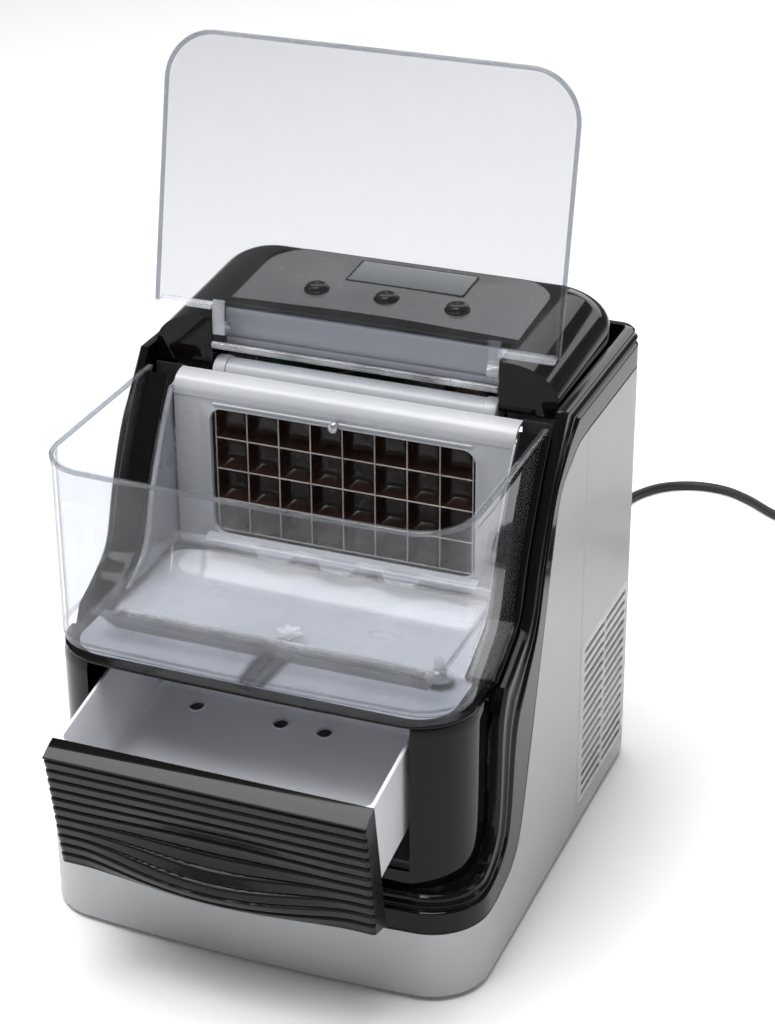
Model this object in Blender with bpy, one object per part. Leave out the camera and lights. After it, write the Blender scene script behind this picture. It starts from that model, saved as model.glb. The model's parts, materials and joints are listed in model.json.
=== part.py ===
"""Countertop ice maker with a clear ice bin, a flip-up lid and a pull-out drawer.

Frame: +Z up, the front faces -Y, +X is the right-hand side of somebody standing in front.
The origin is on the ground, in the middle of the machine without its cord.
"""

import math

import bmesh
import bpy
import numpy as np
from mathutils import Matrix, Vector

MM = 0.001
GAP = 0.3 * MM  # air left between pieces that touch
REACH = 400 * MM  # longer than any cut needs to be

# Casing
CASE_WIDTH = 295 * MM
CASE_DEPTH = 330 * MM
SIDE_TOP = 300 * MM  # top edge of the silver sides
SKIRT_TOP = 50 * MM  # top edge of the silver band under the front
CASE_WALL = 2 * MM
FRONT_RADIUS = 38 * MM
REAR_RADIUS = 14 * MM
FRONT_BOW = 8 * MM  # how far the front stands forward in its middle
FOOT_HEIGHT = 3 * MM
FOOT_RADIUS = 11 * MM
FOOT_INSET = 38 * MM
BASE_THICK = 3 * MM

# Black trim between the sides and the front
TRIM_TOP = 327 * MM
TRIM_WIDTH = 26 * MM  # height of its band along the bottom of the front
TRIM_WALL = 10.5 * MM

# Front below the bin
PANEL_INSET = 11 * MM
PANEL_WALL = 2.5 * MM
PANEL_TOP = 187.6 * MM
PANEL_BOW = 3 * MM
DECK_THICK = 2.3 * MM

# Clear bin
BIN_INSET = 12.5 * MM
BIN_SETBACK = 12 * MM
BIN_WALL = 2.6 * MM
BIN_TOP = 318 * MM
BIN_RADIUS = 33 * MM
RAIL_WIDTH = 18 * MM
RAIL_THICK = 6 * MM
LINER_WALL = 2 * MM
BASKET_WALL = 2 * MM
BASKET_DEPTH = 15 * MM
BASKET_LENGTH = 84 * MM

# Evaporator
CELL_PITCH = 22 * MM
CELL_COLUMNS = 8
CELL_ROWS = 4
CELL_DEPTH = 13 * MM
DIVIDER = 1.2 * MM
GRID_TOP = 297.3 * MM
GRID_BEHIND_BIN = 156 * MM  # from the front of the bin to the front of the dividers
COIL_RADIUS = 3.2 * MM

# Drawer, given as it stands when it is shut
DRAWER_FRONT_WIDTH = 208 * MM
DRAWER_FRONT_HEIGHT = 95 * MM
DRAWER_FRONT_THICK = 14.5 * MM
DRAWER_FRONT_LEAN = 1.7 * MM  # how much thicker it is at its foot
DRAWER_SETBACK = 17 * MM  # from the front of the casing to the back of the drawer's front
DRAWER_LIP = 9 * MM  # how far the finger grip stands forward
DRAWER_SLOPE = 3.7 * MM  # fall of its top face
TUB_INSET = 2 * MM  # from the end of the front to the side of the tub
TUB_LENGTH = 131 * MM
TUB_DEPTH = 61 * MM
TUB_WALL = 2 * MM
TUB_ABOVE = 32 * MM  # underside of the tub above the foot of the front
DRAWER_PIVOT_BACK = 125 * MM
DRAWER_PIVOT_UP = 8 * MM
DRAWER_OUT = 45.5 * MM  # how far it is pulled out
DRAWER_TILT = math.radians(10.4)  # how far it tips when it is pulled out
PIN_RADIUS = 3 * MM
SLIDER_LENGTH = 16 * MM
SLIDER_HEIGHT = 12 * MM
SLIDER_THICK = 4 * MM

# Top cover, control panel and lid
COVER_CLEAR = 0.5 * MM
COVER_FOOT = 317 * MM
COVER_WALL = 3.6 * MM
COVER_FRONT_TOP = 350 * MM
COVER_BACK_TOP = 358 * MM
SHOULDER_WIDTH = 34 * MM
SHOULDER_DROP = 22 * MM
CHEEK_WIDTH = 39 * MM
CHEEK_LENGTH = 22 * MM
COVER_BACK_SETBACK = 12 * MM
PANEL_WIDTH = 198 * MM
PANEL_LENGTH = 82 * MM
PANEL_BACK_BY = 9 * MM  # from the face plate to the front edge of the control panel
PANEL_THICK = 2.3 * MM
PANEL_CORNER = 24 * MM
DISPLAY_WIDTH = 82 * MM
DISPLAY_LENGTH = 30 * MM
DISPLAY_OFFSET = 5 * MM  # to the right of the middle
DISPLAY_BACK_BY = 53.5 * MM
BUTTON_RADIUS = 7.6 * MM
BUTTON_SPACING = 48.6 * MM
BUTTON_BACK_BY = 36 * MM
BUTTON_HEIGHT = 9 * MM
LID_LENGTH = 172.5 * MM
LID_WALL = 2.6 * MM
LID_RADIUS = 32 * MM
LID_LEAN = math.radians(11.5)  # past upright, when it is open
LID_TAIL_CLEAR = 0.7 * MM  # from the lid's tail to each cheek
HINGE_UP = 13 * MM  # hinge line above the top of the trim
HINGE_BACK = 7 * MM  # hinge line behind the front of the cheeks
HINGE_PIN_RADIUS = 2 * MM
KNUCKLE_RADIUS = 5 * MM
KNUCKLE_WIDTH = 8 * MM

# Cooling
COMPRESSOR_RADIUS = 48 * MM
COMPRESSOR_HEIGHT = 128 * MM
FAN_RADIUS = 43 * MM
FAN_BLADES = 5
CONDENSER_THICK = 20 * MM
VENT_WIDTH = 99 * MM
VENT_HEIGHT = 127 * MM
VENT_SLOTS = 16
VENT_FOOT = 16 * MM
PIPE_RADIUS = 3 * MM

DRAIN_RADIUS = 8 * MM
DRAIN_REACH = 9 * MM  # how far the drain's plug stands out of the back

# Mains cord
CORD_RADIUS = 3.5 * MM
RELIEF_LENGTH = 30 * MM
EXIT_UP = 32 * MM
EXIT_RIGHT = 95 * MM
WIND_RADIUS = 42 * MM
PLUG_RADIUS = 18 * MM

# Places that follow from the sizes
DRAWER_FOOT = PANEL_TOP - GAP - DRAWER_FRONT_HEIGHT
BIN_HALF = CASE_WIDTH / 2 - BIN_INSET


def tipped(y, z):
    """A drawer point given from its pivot, after the drawer has tipped by DRAWER_TILT."""
    return (
        y * math.cos(DRAWER_TILT) - z * math.sin(DRAWER_TILT),
        y * math.sin(DRAWER_TILT) + z * math.cos(DRAWER_TILT),
    )


FRONT_TOP_EDGE = tipped(
    -DRAWER_PIVOT_BACK - DRAWER_FRONT_THICK
    - DRAWER_FRONT_LEAN * DRAWER_SLOPE / DRAWER_FRONT_HEIGHT,
    DRAWER_FRONT_HEIGHT - DRAWER_SLOPE - TUB_ABOVE - DRAWER_PIVOT_UP,
)
# The furthest forward point of the open drawer, ahead of the casing.
DRAWER_REACH = DRAWER_OUT - DRAWER_SETBACK - DRAWER_PIVOT_BACK - FRONT_TOP_EDGE[0]
REAR_Y = (CASE_DEPTH + DRAWER_REACH - DRAIN_REACH) / 2
FRONT_Y = REAR_Y - CASE_DEPTH
DRAWER_BACK_Y = FRONT_Y + DRAWER_SETBACK
PIVOT_Y = DRAWER_BACK_Y + DRAWER_PIVOT_BACK - DRAWER_OUT
PIVOT_Z = DRAWER_FOOT + TUB_ABOVE + DRAWER_PIVOT_UP
BIN_FRONT = FRONT_Y + BIN_SETBACK
DECK_Z = PANEL_TOP + GAP
BIN_FOOT = DECK_Z + DECK_THICK + GAP
BASKET_FOOT = BIN_FOOT + BIN_WALL + GAP
GRID_Y = BIN_FRONT + GRID_BEHIND_BIN
GRID_HALF = CELL_COLUMNS * CELL_PITCH / 2
GRID_FOOT = GRID_TOP - CELL_ROWS * CELL_PITCH
LINER_HALF = BIN_HALF - BIN_WALL - GAP - RAIL_WIDTH + 4 * MM
COVER_HALF = CASE_WIDTH / 2 - TRIM_WALL - COVER_CLEAR
COVER_BACK = REAR_Y - COVER_BACK_SETBACK
LID_HALF = COVER_HALF - 0.5 * MM
TAIL_HALF = COVER_HALF - CHEEK_WIDTH - LID_TAIL_CLEAR
TUB_HALF = DRAWER_FRONT_WIDTH / 2 - TUB_INSET
CHEEK_FRONT = BIN_FRONT + 174 * MM
FACE_Y = CHEEK_FRONT + CHEEK_LENGTH
HINGE_Y = CHEEK_FRONT + HINGE_BACK
HINGE_Z = TRIM_TOP + HINGE_UP
FLOOR_Z = FOOT_HEIGHT + BASE_THICK
FAN_Y = REAR_Y - 62 * MM
FAN_Z = VENT_FOOT + VENT_HEIGHT / 2


# ---------------------------------------------------------------- making shapes


def material(name, colour, roughness, metallic=0.0, alpha=1.0):
    """A plain material, made once for each name."""
    made = bpy.data.materials.get(name)
    if made:
        return made
    made = bpy.data.materials.new(name)
    made.use_nodes = True
    shader = made.node_tree.nodes["Principled BSDF"]
    shader.inputs["Base Color"].default_value = (*colour, 1.0)
    shader.inputs["Roughness"].default_value = roughness
    shader.inputs["Metallic"].default_value = metallic
    shader.inputs["Alpha"].default_value = alpha
    return made


def silver():
    return material("silver_paint", (0.55, 0.56, 0.58), 0.35, 0.6)


def gloss_black():
    return material("gloss_black", (0.01, 0.01, 0.012), 0.1)


def satin_black():
    return material("satin_black", (0.04, 0.035, 0.035), 0.4)


def clear():
    return material("clear_plastic", (0.9, 0.93, 0.95), 0.05, 0.0, 0.3)


def white():
    return material("white_plastic", (0.75, 0.77, 0.8), 0.4)


def grey():
    return material("grey_plastic", (0.4, 0.41, 0.44), 0.4)


def steel():
    return material("steel", (0.6, 0.6, 0.6), 0.3, 1.0)


def copper():
    return material("copper", (0.5, 0.24, 0.13), 0.3, 1.0)


def rubber():
    return material("black_rubber", (0.02, 0.02, 0.02), 0.7)


def green():
    return material("circuit_board", (0.03, 0.2, 0.08), 0.5)


def add_mesh(name, points, faces, finish):
    """An object from points and faces, its faces turned outwards."""
    mesh = bpy.data.meshes.new(name)
    mesh.from_pydata([tuple(map(float, p)) for p in points], [], faces)
    shape = bmesh.new()
    shape.from_mesh(mesh)
    bmesh.ops.recalc_face_normals(shape, faces=shape.faces)
    shape.to_mesh(mesh)
    shape.free()
    made = bpy.data.objects.new(name, mesh)
    bpy.context.scene.collection.objects.link(made)
    made.data.materials.append(finish)
    return made


def along(axis, flat, depth):
    """A flat point and a depth along axis as a point in space."""
    u, v = flat
    return {"X": (depth, u, v), "Y": (u, depth, v), "Z": (u, v, depth)}[axis]


def prism(name, outline, axis, low, high, finish):
    """A flat outline carried straight along an axis."""
    n = len(outline)
    points = [along(axis, p, low) for p in outline] + [along(axis, p, high) for p in outline]
    faces = [list(range(n))[::-1], list(range(n, 2 * n))]
    faces += [[i, (i + 1) % n, n + (i + 1) % n, n + i] for i in range(n)]
    return add_mesh(name, points, faces, finish)


def box(name, low, high, finish):
    """A block between two corners."""
    outline = [(low[0], low[1]), (high[0], low[1]), (high[0], high[1]), (low[0], high[1])]
    return prism(name, outline, "Z", low[2], high[2], finish)


def ring(name, outer, inner, low, high, finish):
    """The upright wall between two plan outlines that have as many points as each other."""
    n = len(outer)
    levels = [(outer, low), (outer, high), (inner, high), (inner, low)]
    points = [(*p, z) for outline, z in levels for p in outline]
    faces = []
    for level in range(4):
        a, b = level * n, (level + 1) % 4 * n
        faces += [[a + i, a + (i + 1) % n, b + (i + 1) % n, b + i] for i in range(n)]
    return add_mesh(name, points, faces, finish)


def loft(name, rings, finish):
    """A skin through rings of equally many points, closed by a cap at each end."""
    n = len(rings[0])
    points = [p for one in rings for p in one]
    faces = [list(range(n))[::-1], list(range(len(points) - n, len(points)))]
    for k in range(len(rings) - 1):
        a, b = k * n, (k + 1) * n
        faces += [[a + i, a + (i + 1) % n, b + (i + 1) % n, b + i] for i in range(n)]
    return add_mesh(name, points, faces, finish)


def turned(name, profile, centre, axis, finish, steps=24):
    """A profile of (radius, height) pairs turned about an axis through centre."""
    rings = []
    for radius, height in profile:
        radius = max(radius, 0.01 * MM)
        angles = [2 * math.pi * i / steps for i in range(steps)]
        rings.append([
            Vector(centre) + Vector(along(axis, (radius * math.cos(a), radius * math.sin(a)), height))
            for a in angles
        ])
    made = loft(name, rings, finish)
    made.data.shade_smooth()
    made.data.set_sharp_from_angle(angle=math.radians(35))
    return made


def lattice(name, us, vs, solid, axis, low, high, finish):
    """A plate on a grid of lines us and vs, with the fields where solid(i, j) is false left open."""
    points, index = [], {}

    def corner(i, j, depth):
        key = (i, j, depth)
        if key not in index:
            index[key] = len(points)
            points.append(along(axis, (us[i], vs[j]), depth))
        return index[key]

    def filled(i, j):
        return 0 <= i < len(us) - 1 and 0 <= j < len(vs) - 1 and solid(i, j)

    faces = []
    for i in range(len(us) - 1):
        for j in range(len(vs) - 1):
            if not filled(i, j):
                continue
            loop = [(i, j), (i + 1, j), (i + 1, j + 1), (i, j + 1)]
            faces.append([corner(*c, low) for c in loop][::-1])
            faces.append([corner(*c, high) for c in loop])
            beyond = [(i, j - 1), (i + 1, j), (i, j + 1), (i - 1, j)]
            for side in range(4):
                if not filled(*beyond[side]):
                    a, b = loop[side], loop[(side + 1) % 4]
                    faces.append([corner(*a, low), corner(*b, low), corner(*b, high), corner(*a, high)])
    return add_mesh(name, points, faces, finish)


def smooth(points, steps=4):
    """More points on one smooth curve through the points given (a Catmull-Rom spline)."""
    given = [np.array(p, float) for p in points]
    given = [2 * given[0] - given[1]] + given + [2 * given[-1] - given[-2]]
    found = []
    for k in range(1, len(given) - 2):
        a, b, c, d = given[k - 1: k + 3]
        for i in range(steps):
            t = i / steps
            found.append(0.5 * (2 * b + (c - a) * t + (2 * a - 5 * b + 4 * c - d) * t**2
                                + (3 * b - a - 3 * c + d) * t**3))
    found.append(given[-2])
    return found


def evenly(points, spacing):
    """Points at one spacing along a run of points."""
    points = np.array(points)
    steps = np.linalg.norm(np.diff(points, axis=0), axis=1)
    reach = np.concatenate([[0], np.cumsum(steps)])
    wanted = np.linspace(0, reach[-1], max(2, round(reach[-1] / spacing) + 1))
    return [tuple(float(np.interp(w, reach, points[:, k])) for k in range(3)) for w in wanted]


def tube(name, points, radius, finish, sides=1):
    """A round tube along points, with its ends filled."""
    curve = bpy.data.curves.new(name, "CURVE")
    curve.dimensions = "3D"
    curve.bevel_depth = radius
    curve.bevel_resolution = sides
    curve.use_fill_caps = True
    spline = curve.splines.new("POLY")
    spline.points.add(len(points) - 1)
    for point, place in zip(spline.points, points):
        point.co = (*place, 1.0)
    made = bpy.data.objects.new(name, curve)
    bpy.context.scene.collection.objects.link(made)
    curve.materials.append(finish)
    return made


def combine(target, tool, operation):
    """A Boolean of the target with a tool that is kept as a hidden guide."""
    tool.hide_render = True
    tool.display_type = "WIRE"
    step = target.modifiers.new(tool.name, "BOOLEAN")
    step.operation = operation
    step.object = tool
    step.solver = "EXACT"
    return target


def cut(target, tool):
    return combine(target, tool, "DIFFERENCE")


def keep(target, tool):
    return combine(target, tool, "INTERSECT")


def join(target, tool):
    return combine(target, tool, "UNION")


def hole(target, centre, radius, axis, depth=REACH, steps=16):
    """A round hole right through the target."""
    tool = turned(f"{target.name}_hole", [(radius, -depth), (radius, depth)], centre, axis,
                  target.data.materials[0], steps)
    return cut(target, tool)


def hold(pieces, place, tilt=0.0, name="pivot"):
    """Pieces built about a pivot at the origin, carried to place and tipped about X by an empty."""
    pivot = bpy.data.objects.new(name, None)
    bpy.context.scene.collection.objects.link(pivot)
    pivot.location = place
    pivot.rotation_euler = (tilt, 0.0, 0.0)
    for piece in pieces:
        piece.parent = pivot
        for step in piece.modifiers:
            step.object.parent = pivot
    return pivot


def move_mesh(piece, shift):
    """Moves a mesh inside its object."""
    piece.data.transform(Matrix.Translation(Vector(shift)))
    return piece


# ---------------------------------------------------------------- outlines


def plan(inset=0.0, front=None, radius=None, bow=FRONT_BOW):
    """The machine seen from above: straight sides, round corners and a slightly bowed front."""
    half = CASE_WIDTH / 2 - inset
    front = FRONT_Y + inset if front is None else front
    rear = REAR_Y - inset
    radius = FRONT_RADIUS - inset if radius is None else radius
    back_radius = max(REAR_RADIUS - inset, 2 * MM)
    right = []
    straight = half - radius
    for x in np.linspace(0, straight, 6)[:-1]:
        right.append((x, front + bow * (x / half) ** 2))
    corner_y = front + bow * (straight / half) ** 2 + radius
    for angle in np.linspace(-math.pi / 2, 0, 8):
        right.append((straight + radius * math.cos(angle), corner_y + radius * math.sin(angle)))
    for angle in np.linspace(0, math.pi / 2, 4):
        right.append((half - back_radius + back_radius * math.cos(angle),
                      rear - back_radius + back_radius * math.sin(angle)))
    return right + [(-x, y) for x, y in right[:0:-1]]


def front_contour(shift=0.0):
    """Side view of the housing's front edge beside the bin, from the top down to the deck."""
    deck = DECK_Z + DECK_THICK
    rise = TRIM_TOP - deck
    ends = [(164, 1.0), (152, 0.87), (139, 0.73), (118, 0.44), (104, 0.18), (82, 0.07), (62, 0.0)]
    curve = smooth([(BIN_FRONT + y * MM, deck + rise * share) for y, share in ends], 3)
    return [(float(y) + shift, float(z)) for y, z in curve]


def side_border():
    """Side view of the edge between the silver side and the trim, from the rear top to the front."""
    rise = SIDE_TOP - SKIRT_TOP
    ends = [(219, 1.0), (197, 0.995), (182, 0.97), (161, 0.915), (147, 0.76), (114, 0.31),
            (98, 0.104), (82, 0.03), (56, 0.0)]
    curve = smooth([(FRONT_Y + y * MM, SKIRT_TOP + rise * share) for y, share in ends], 3)
    return [(float(y), float(z)) for y, z in curve]


def panel_edge(shift=0.0):
    """Side view of the rear and lower edge of the front panel, from the deck down to the front."""
    top = DECK_Z + DECK_THICK
    foot = SKIRT_TOP + TRIM_WIDTH
    curve = smooth([
        (BIN_FRONT + 62 * MM, top),
        (BIN_FRONT + 54 * MM, top - 22 * MM),
        (BIN_FRONT + 51 * MM, foot + 34 * MM),
        (BIN_FRONT + 44 * MM, foot + 14 * MM),
        (BIN_FRONT + 26 * MM, foot + 3 * MM),
        (BIN_FRONT + 4 * MM, foot),
    ], 3)
    slide = [(float(y) - shift, float(z) + shift) for y, z in curve]
    return slide + [(FRONT_Y - 20 * MM, foot + shift)]


def rounded_rect(x0, y0, x1, y1, radius, steps=5):
    """A rectangle with round corners."""
    points = []
    for cx, cy, start in ((x1 - radius, y0 + radius, -90), (x1 - radius, y1 - radius, 0),
                          (x0 + radius, y1 - radius, 90), (x0 + radius, y0 + radius, 180)):
        for i in range(steps):
            angle = math.radians(start + 90 * i / (steps - 1))
            points.append((cx + radius * math.cos(angle), cy + radius * math.sin(angle)))
    return points


# ---------------------------------------------------------------- casing and front


def outer_casing():
    """Silver wrap: both sides and the band under the front, open at the back."""
    casing = ring("outer_casing", plan(), plan(CASE_WALL), FOOT_HEIGHT, SIDE_TOP + 20 * MM, silver())
    region = [(REAR_Y + 9 * MM, FOOT_HEIGHT - 9 * MM), (REAR_Y + 9 * MM, SIDE_TOP)]
    region += side_border() + [(FRONT_Y - 9 * MM, SKIRT_TOP), (FRONT_Y - 9 * MM, FOOT_HEIGHT - 9 * MM)]
    keep(casing, prism("casing_region", region, "X", -REACH, REACH, silver()))
    half = CASE_WIDTH / 2 - REAR_RADIUS
    cut(casing, box("rear_window", (-half, REAR_Y - 8 * MM, -REACH), (half, REAR_Y + 8 * MM, REACH),
                    silver()))
    vent_low, vent_high = FAN_Y - VENT_WIDTH / 2, FAN_Y + VENT_WIDTH / 2
    cut(casing, box("vent_window", (0, vent_low, VENT_FOOT),
                    (REACH, vent_high, VENT_FOOT + VENT_HEIGHT), silver()))


def side_vent():
    """Louvred grille in the right side: two columns of slots with a bar between them."""
    low, high = FAN_Y - VENT_WIDTH / 2 + GAP, FAN_Y + VENT_WIDTH / 2 - GAP
    frame, bar = 6 * MM, 5 * MM
    ys = [low, low + frame, FAN_Y - bar / 2, FAN_Y + bar / 2, high - frame, high]
    foot, top = VENT_FOOT + GAP, VENT_FOOT + VENT_HEIGHT - GAP
    pitch = (top - foot - 2 * frame) / (VENT_SLOTS - 0.5)
    zs = [foot]
    for i in range(VENT_SLOTS):
        zs += [foot + frame + i * pitch, foot + frame + (i + 0.5) * pitch]
    zs.append(top)
    outside = CASE_WIDTH / 2
    lattice("side_vent", ys, zs, lambda i, j: not (i in (1, 3) and j % 2 == 1), "X",
            outside - CASE_WALL, outside, grey())


def rear_panel():
    """Flat back with a field of vent slots, a hole for the cord and one for the drain."""
    half = CASE_WIDTH / 2 - REAR_RADIUS - GAP
    foot, top = FOOT_HEIGHT, SIDE_TOP - GAP
    slots, slot, bar = 9, 5 * MM, 5 * MM
    xs = [-half, -half * 0.6, -bar, bar, half * 0.6, half]
    start = FOOT_HEIGHT + 150 * MM
    zs = [foot]
    for i in range(slots):
        zs += [start + i * (slot + bar), start + i * (slot + bar) + slot]
    zs.append(top)
    panel = lattice("rear_panel", xs, zs, lambda i, j: not (i in (1, 3) and j % 2 == 1), "Y",
                    REAR_Y - CASE_WALL, REAR_Y, grey())
    hole(panel, (EXIT_RIGHT, REAR_Y, EXIT_UP), 6 * MM + GAP, "Y", 20 * MM)
    hole(panel, (-EXIT_RIGHT, REAR_Y, EXIT_UP), DRAIN_RADIUS + GAP, "Y", 20 * MM)


def base_plate():
    """Floor that carries the compressor, the tank and the feet."""
    outline = plan(CASE_WALL + GAP)
    prism("base_plate", outline, "Z", FOOT_HEIGHT, FLOOR_Z, steel())


def feet():
    """Four round rubber feet under the base plate."""
    x = CASE_WIDTH / 2 - FOOT_INSET
    places = [(-x, FRONT_Y + FOOT_INSET), (x, FRONT_Y + FOOT_INSET),
              (-x, REAR_Y - FOOT_INSET), (x, REAR_Y - FOOT_INSET)]
    names = ("foot_front_left", "foot_front_right", "foot_rear_left", "foot_rear_right")
    profile = [(FOOT_RADIUS * 0.85, 0), (FOOT_RADIUS, FOOT_HEIGHT * 0.4),
               (FOOT_RADIUS, FOOT_HEIGHT - GAP)]
    for name, (x, y) in zip(names, places):
        turned(name, profile, (x, y, 0), "Z", rubber(), 16)


def trim_frame():
    """Gloss black band along the sides' front edges, round the foot of the front and the top rear."""
    trim = ring("trim_frame", plan(), plan(TRIM_WALL), SKIRT_TOP - 20 * MM, TRIM_TOP, gloss_black())
    border = [(y, z + GAP) for y, z in side_border()]
    region = [(REAR_Y + 9 * MM, SIDE_TOP + GAP)] + border
    region += [(FRONT_Y - 20 * MM, SKIRT_TOP + GAP)] + panel_edge()[::-1]
    region += front_contour()[::-1][1:] + [(REAR_Y + 9 * MM, TRIM_TOP + 9 * MM)]
    keep(trim, prism("trim_region", region, "X", -REACH, REACH, gloss_black()))


def front_panel():
    """Dark panel below the bin, round the drawer, open at the top over the drawer's width."""
    outer = plan(PANEL_INSET, FRONT_Y + PANEL_INSET, FRONT_RADIUS, PANEL_BOW)
    inner = plan(PANEL_INSET + PANEL_WALL, FRONT_Y + PANEL_INSET + PANEL_WALL,
                 FRONT_RADIUS - PANEL_WALL, PANEL_BOW)
    panel = ring("front_panel", outer, inner, SKIRT_TOP, PANEL_TOP, satin_black())
    region = panel_edge(GAP) + [(FRONT_Y - 20 * MM, PANEL_TOP + 9 * MM)]
    region.append((BIN_FRONT + 62 * MM, PANEL_TOP + 9 * MM))
    keep(panel, prism("panel_region", region, "X", -REACH, REACH, satin_black()))
    half = DRAWER_FRONT_WIDTH / 2 + 2 * MM
    cut(panel, box("drawer_window", (-half, FRONT_Y - 9 * MM, DRAWER_FOOT - 4.5 * MM),
                   (half, FRONT_Y + 60 * MM, PANEL_TOP + 9 * MM), satin_black()))


def deck():
    """Level plate between the front panel and the bin, open behind where the ice melts down."""
    outer = plan(PANEL_INSET + 0.5 * MM, FRONT_Y + PANEL_INSET + 0.5 * MM, FRONT_RADIUS, PANEL_BOW)
    edge = BIN_FRONT + 61 * MM
    outline = [(x, min(y, edge)) for x, y in outer if y < edge + 60 * MM]
    plate = prism("deck", outline, "Z", DECK_Z, DECK_Z + DECK_THICK, gloss_black())
    slot = box("deck_drain", (-30 * MM, edge - 40 * MM, 0), (30 * MM, edge - 28 * MM, REACH),
               gloss_black())
    cut(plate, slot)


# ---------------------------------------------------------------- bin, liner and basket


def bin_shell():
    """Clear bin: front, sides and floor in one piece, its rear edges on the housing's contour."""
    outer = plan(BIN_INSET, BIN_FRONT, BIN_RADIUS, PANEL_BOW)
    inner = plan(BIN_INSET + BIN_WALL, BIN_FRONT + BIN_WALL, BIN_RADIUS - BIN_WALL, PANEL_BOW)
    shell = prism("ice_bin", outer, "Z", BIN_FOOT, BIN_TOP, clear())
    hollow = prism("bin_hollow", inner, "Z", BIN_FOOT + BIN_WALL, BIN_TOP + 9 * MM, clear())
    cut(shell, hollow)
    region = front_contour(-GAP) + [(FRONT_Y - 9 * MM, BIN_FOOT - 9 * MM), (FRONT_Y - 9 * MM, TRIM_TOP)]
    region.insert(len(front_contour()), (BIN_FRONT + 62 * MM - GAP, BIN_FOOT - 9 * MM))
    keep(shell, prism("bin_region", region, "X", -REACH, REACH, clear()))


def side_rail(name, side):
    """Black upright on each side of the ice chute, following the housing's contour."""
    front = front_contour(GAP)
    back = front_contour(GAP + RAIL_THICK)
    top = BIN_TOP - 2 * MM
    outline = [p for p in front if p[1] < top] + [p for p in back[::-1] if p[1] < top]
    outer = CASE_WIDTH / 2 - TRIM_WALL - GAP
    inner = LINER_HALF + GAP
    low, high = sorted((side * inner, side * outer))
    prism(name, outline, "X", low, high, gloss_black())


def chute_side(name, side):
    """Clear side wall of the ice chute, from the contour back to the evaporator."""
    top = BIN_TOP - 6 * MM
    front = [p for p in front_contour(GAP + 1.5 * MM) if BASKET_FOOT < p[1] < top]
    back = GRID_Y + CELL_DEPTH
    outline = front + [(back, front[-1][1]), (back, front[0][1])]
    low, high = sorted((side * LINER_HALF, side * (LINER_HALF - LINER_WALL)))
    prism(name, outline, "X", low, high, clear())


def ice_basket():
    """Clear lift-out basket: a floor with a drain hole, low sides and a sloping back."""
    half = LINER_HALF - LINER_WALL - 1.5 * MM
    front = BIN_FRONT + BIN_RADIUS * 0.75
    top = BASKET_FOOT + BASKET_DEPTH
    bend = front + BASKET_LENGTH
    back = GRID_Y - 16 * MM
    wall = BASKET_WALL
    side = [(front, BASKET_FOOT), (bend, BASKET_FOOT), (back, top), (front, top)]
    hollow = [(front + wall, BASKET_FOOT + wall), (bend, BASKET_FOOT + wall),
              (back - 2 * wall, top + 1 * MM), (front + wall, top + 1 * MM)]
    basket = prism("ice_basket", side, "X", -half, half, clear())
    cut(basket, prism("basket_hollow", hollow, "X", -half + wall, half - wall, clear()))
    hole(basket, (0, front + BASKET_LENGTH / 2, BASKET_FOOT), 3 * MM, "Z", 20 * MM, 8)
    place = (half - 9 * MM, front + 28 * MM, BASKET_FOOT + wall / 2)
    profile = [(5 * MM, 0), (5 * MM, 4 * MM), (3 * MM, 5 * MM), (3 * MM, 13 * MM), (1 * MM, 15 * MM)]
    join(basket, turned("basket_post", profile, place, "Z", clear(), 12))


# ---------------------------------------------------------------- evaporator


def evaporator():
    """Cell dividers, copper plate and the coil behind it."""
    edges = [-GRID_HALF - DIVIDER / 2 + i * CELL_PITCH for i in range(CELL_COLUMNS + 1)]
    xs = [x + step for x in edges for step in (0, DIVIDER)]
    floors = [GRID_FOOT - DIVIDER / 2 + i * CELL_PITCH for i in range(CELL_ROWS + 1)]
    zs = [z + step for z in floors for step in (0, DIVIDER)]
    back = GRID_Y + CELL_DEPTH
    lattice("evaporator_grid", xs, zs, lambda i, j: i % 2 == 0 or j % 2 == 0, "Y", GRID_Y, back,
            steel())
    edge = DIVIDER + 1 * MM
    plate = back + GAP
    box("evaporator_plate", (-GRID_HALF - edge, plate, GRID_FOOT - edge),
        (GRID_HALF + edge, plate + 1.5 * MM, GRID_TOP + edge), copper())
    coil_y = plate + 1.5 * MM + GAP + COIL_RADIUS
    passes = CELL_ROWS
    reach = GRID_HALF - 12 * MM
    route = []
    for i in range(passes):
        z = GRID_TOP - (i + 0.5) * CELL_PITCH
        side = 1 if i % 2 == 0 else -1
        route += [(-side * reach, coil_y, z), (side * reach, coil_y, z)]
        if i < passes - 1:
            bend = [(side * (reach + 8 * MM), coil_y, z - CELL_PITCH * t) for t in (0.25, 0.5, 0.75)]
            route += bend
    tube("evaporator_coil", route, COIL_RADIUS, copper())


def evaporator_surround():
    """White frame round the cells, with the drip ledge and its three tongues below."""
    half = LINER_HALF - LINER_WALL - GAP
    edge = DIVIDER + 1.2 * MM
    xs = [-half, -GRID_HALF - edge, GRID_HALF + edge, half]
    zs = [BASKET_FOOT + 4 * MM, GRID_FOOT - edge, GRID_TOP + edge - 3 * MM, GRID_TOP + 9 * MM]
    surround = lattice("evaporator_surround", xs, zs, lambda i, j: (i, j) != (1, 1), "Y",
                       GRID_Y - 3 * MM, GRID_Y - GAP, white())
    top = GRID_TOP + 6 * MM
    outside = [(-3, 0), (-2.2, 5), (1.5, 9.5), (8, 12.3), (12, 12.8)]
    inside = [(12, 10.8), (8.5, 10.3), (3, 7.8), (-0.3, 4), (-0.4, 0)]
    hood = [(GRID_Y + y * MM, top + z * MM) for y, z in outside + inside]
    join(surround, prism("surround_hood", hood, "X", -half, half, white()))


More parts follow.
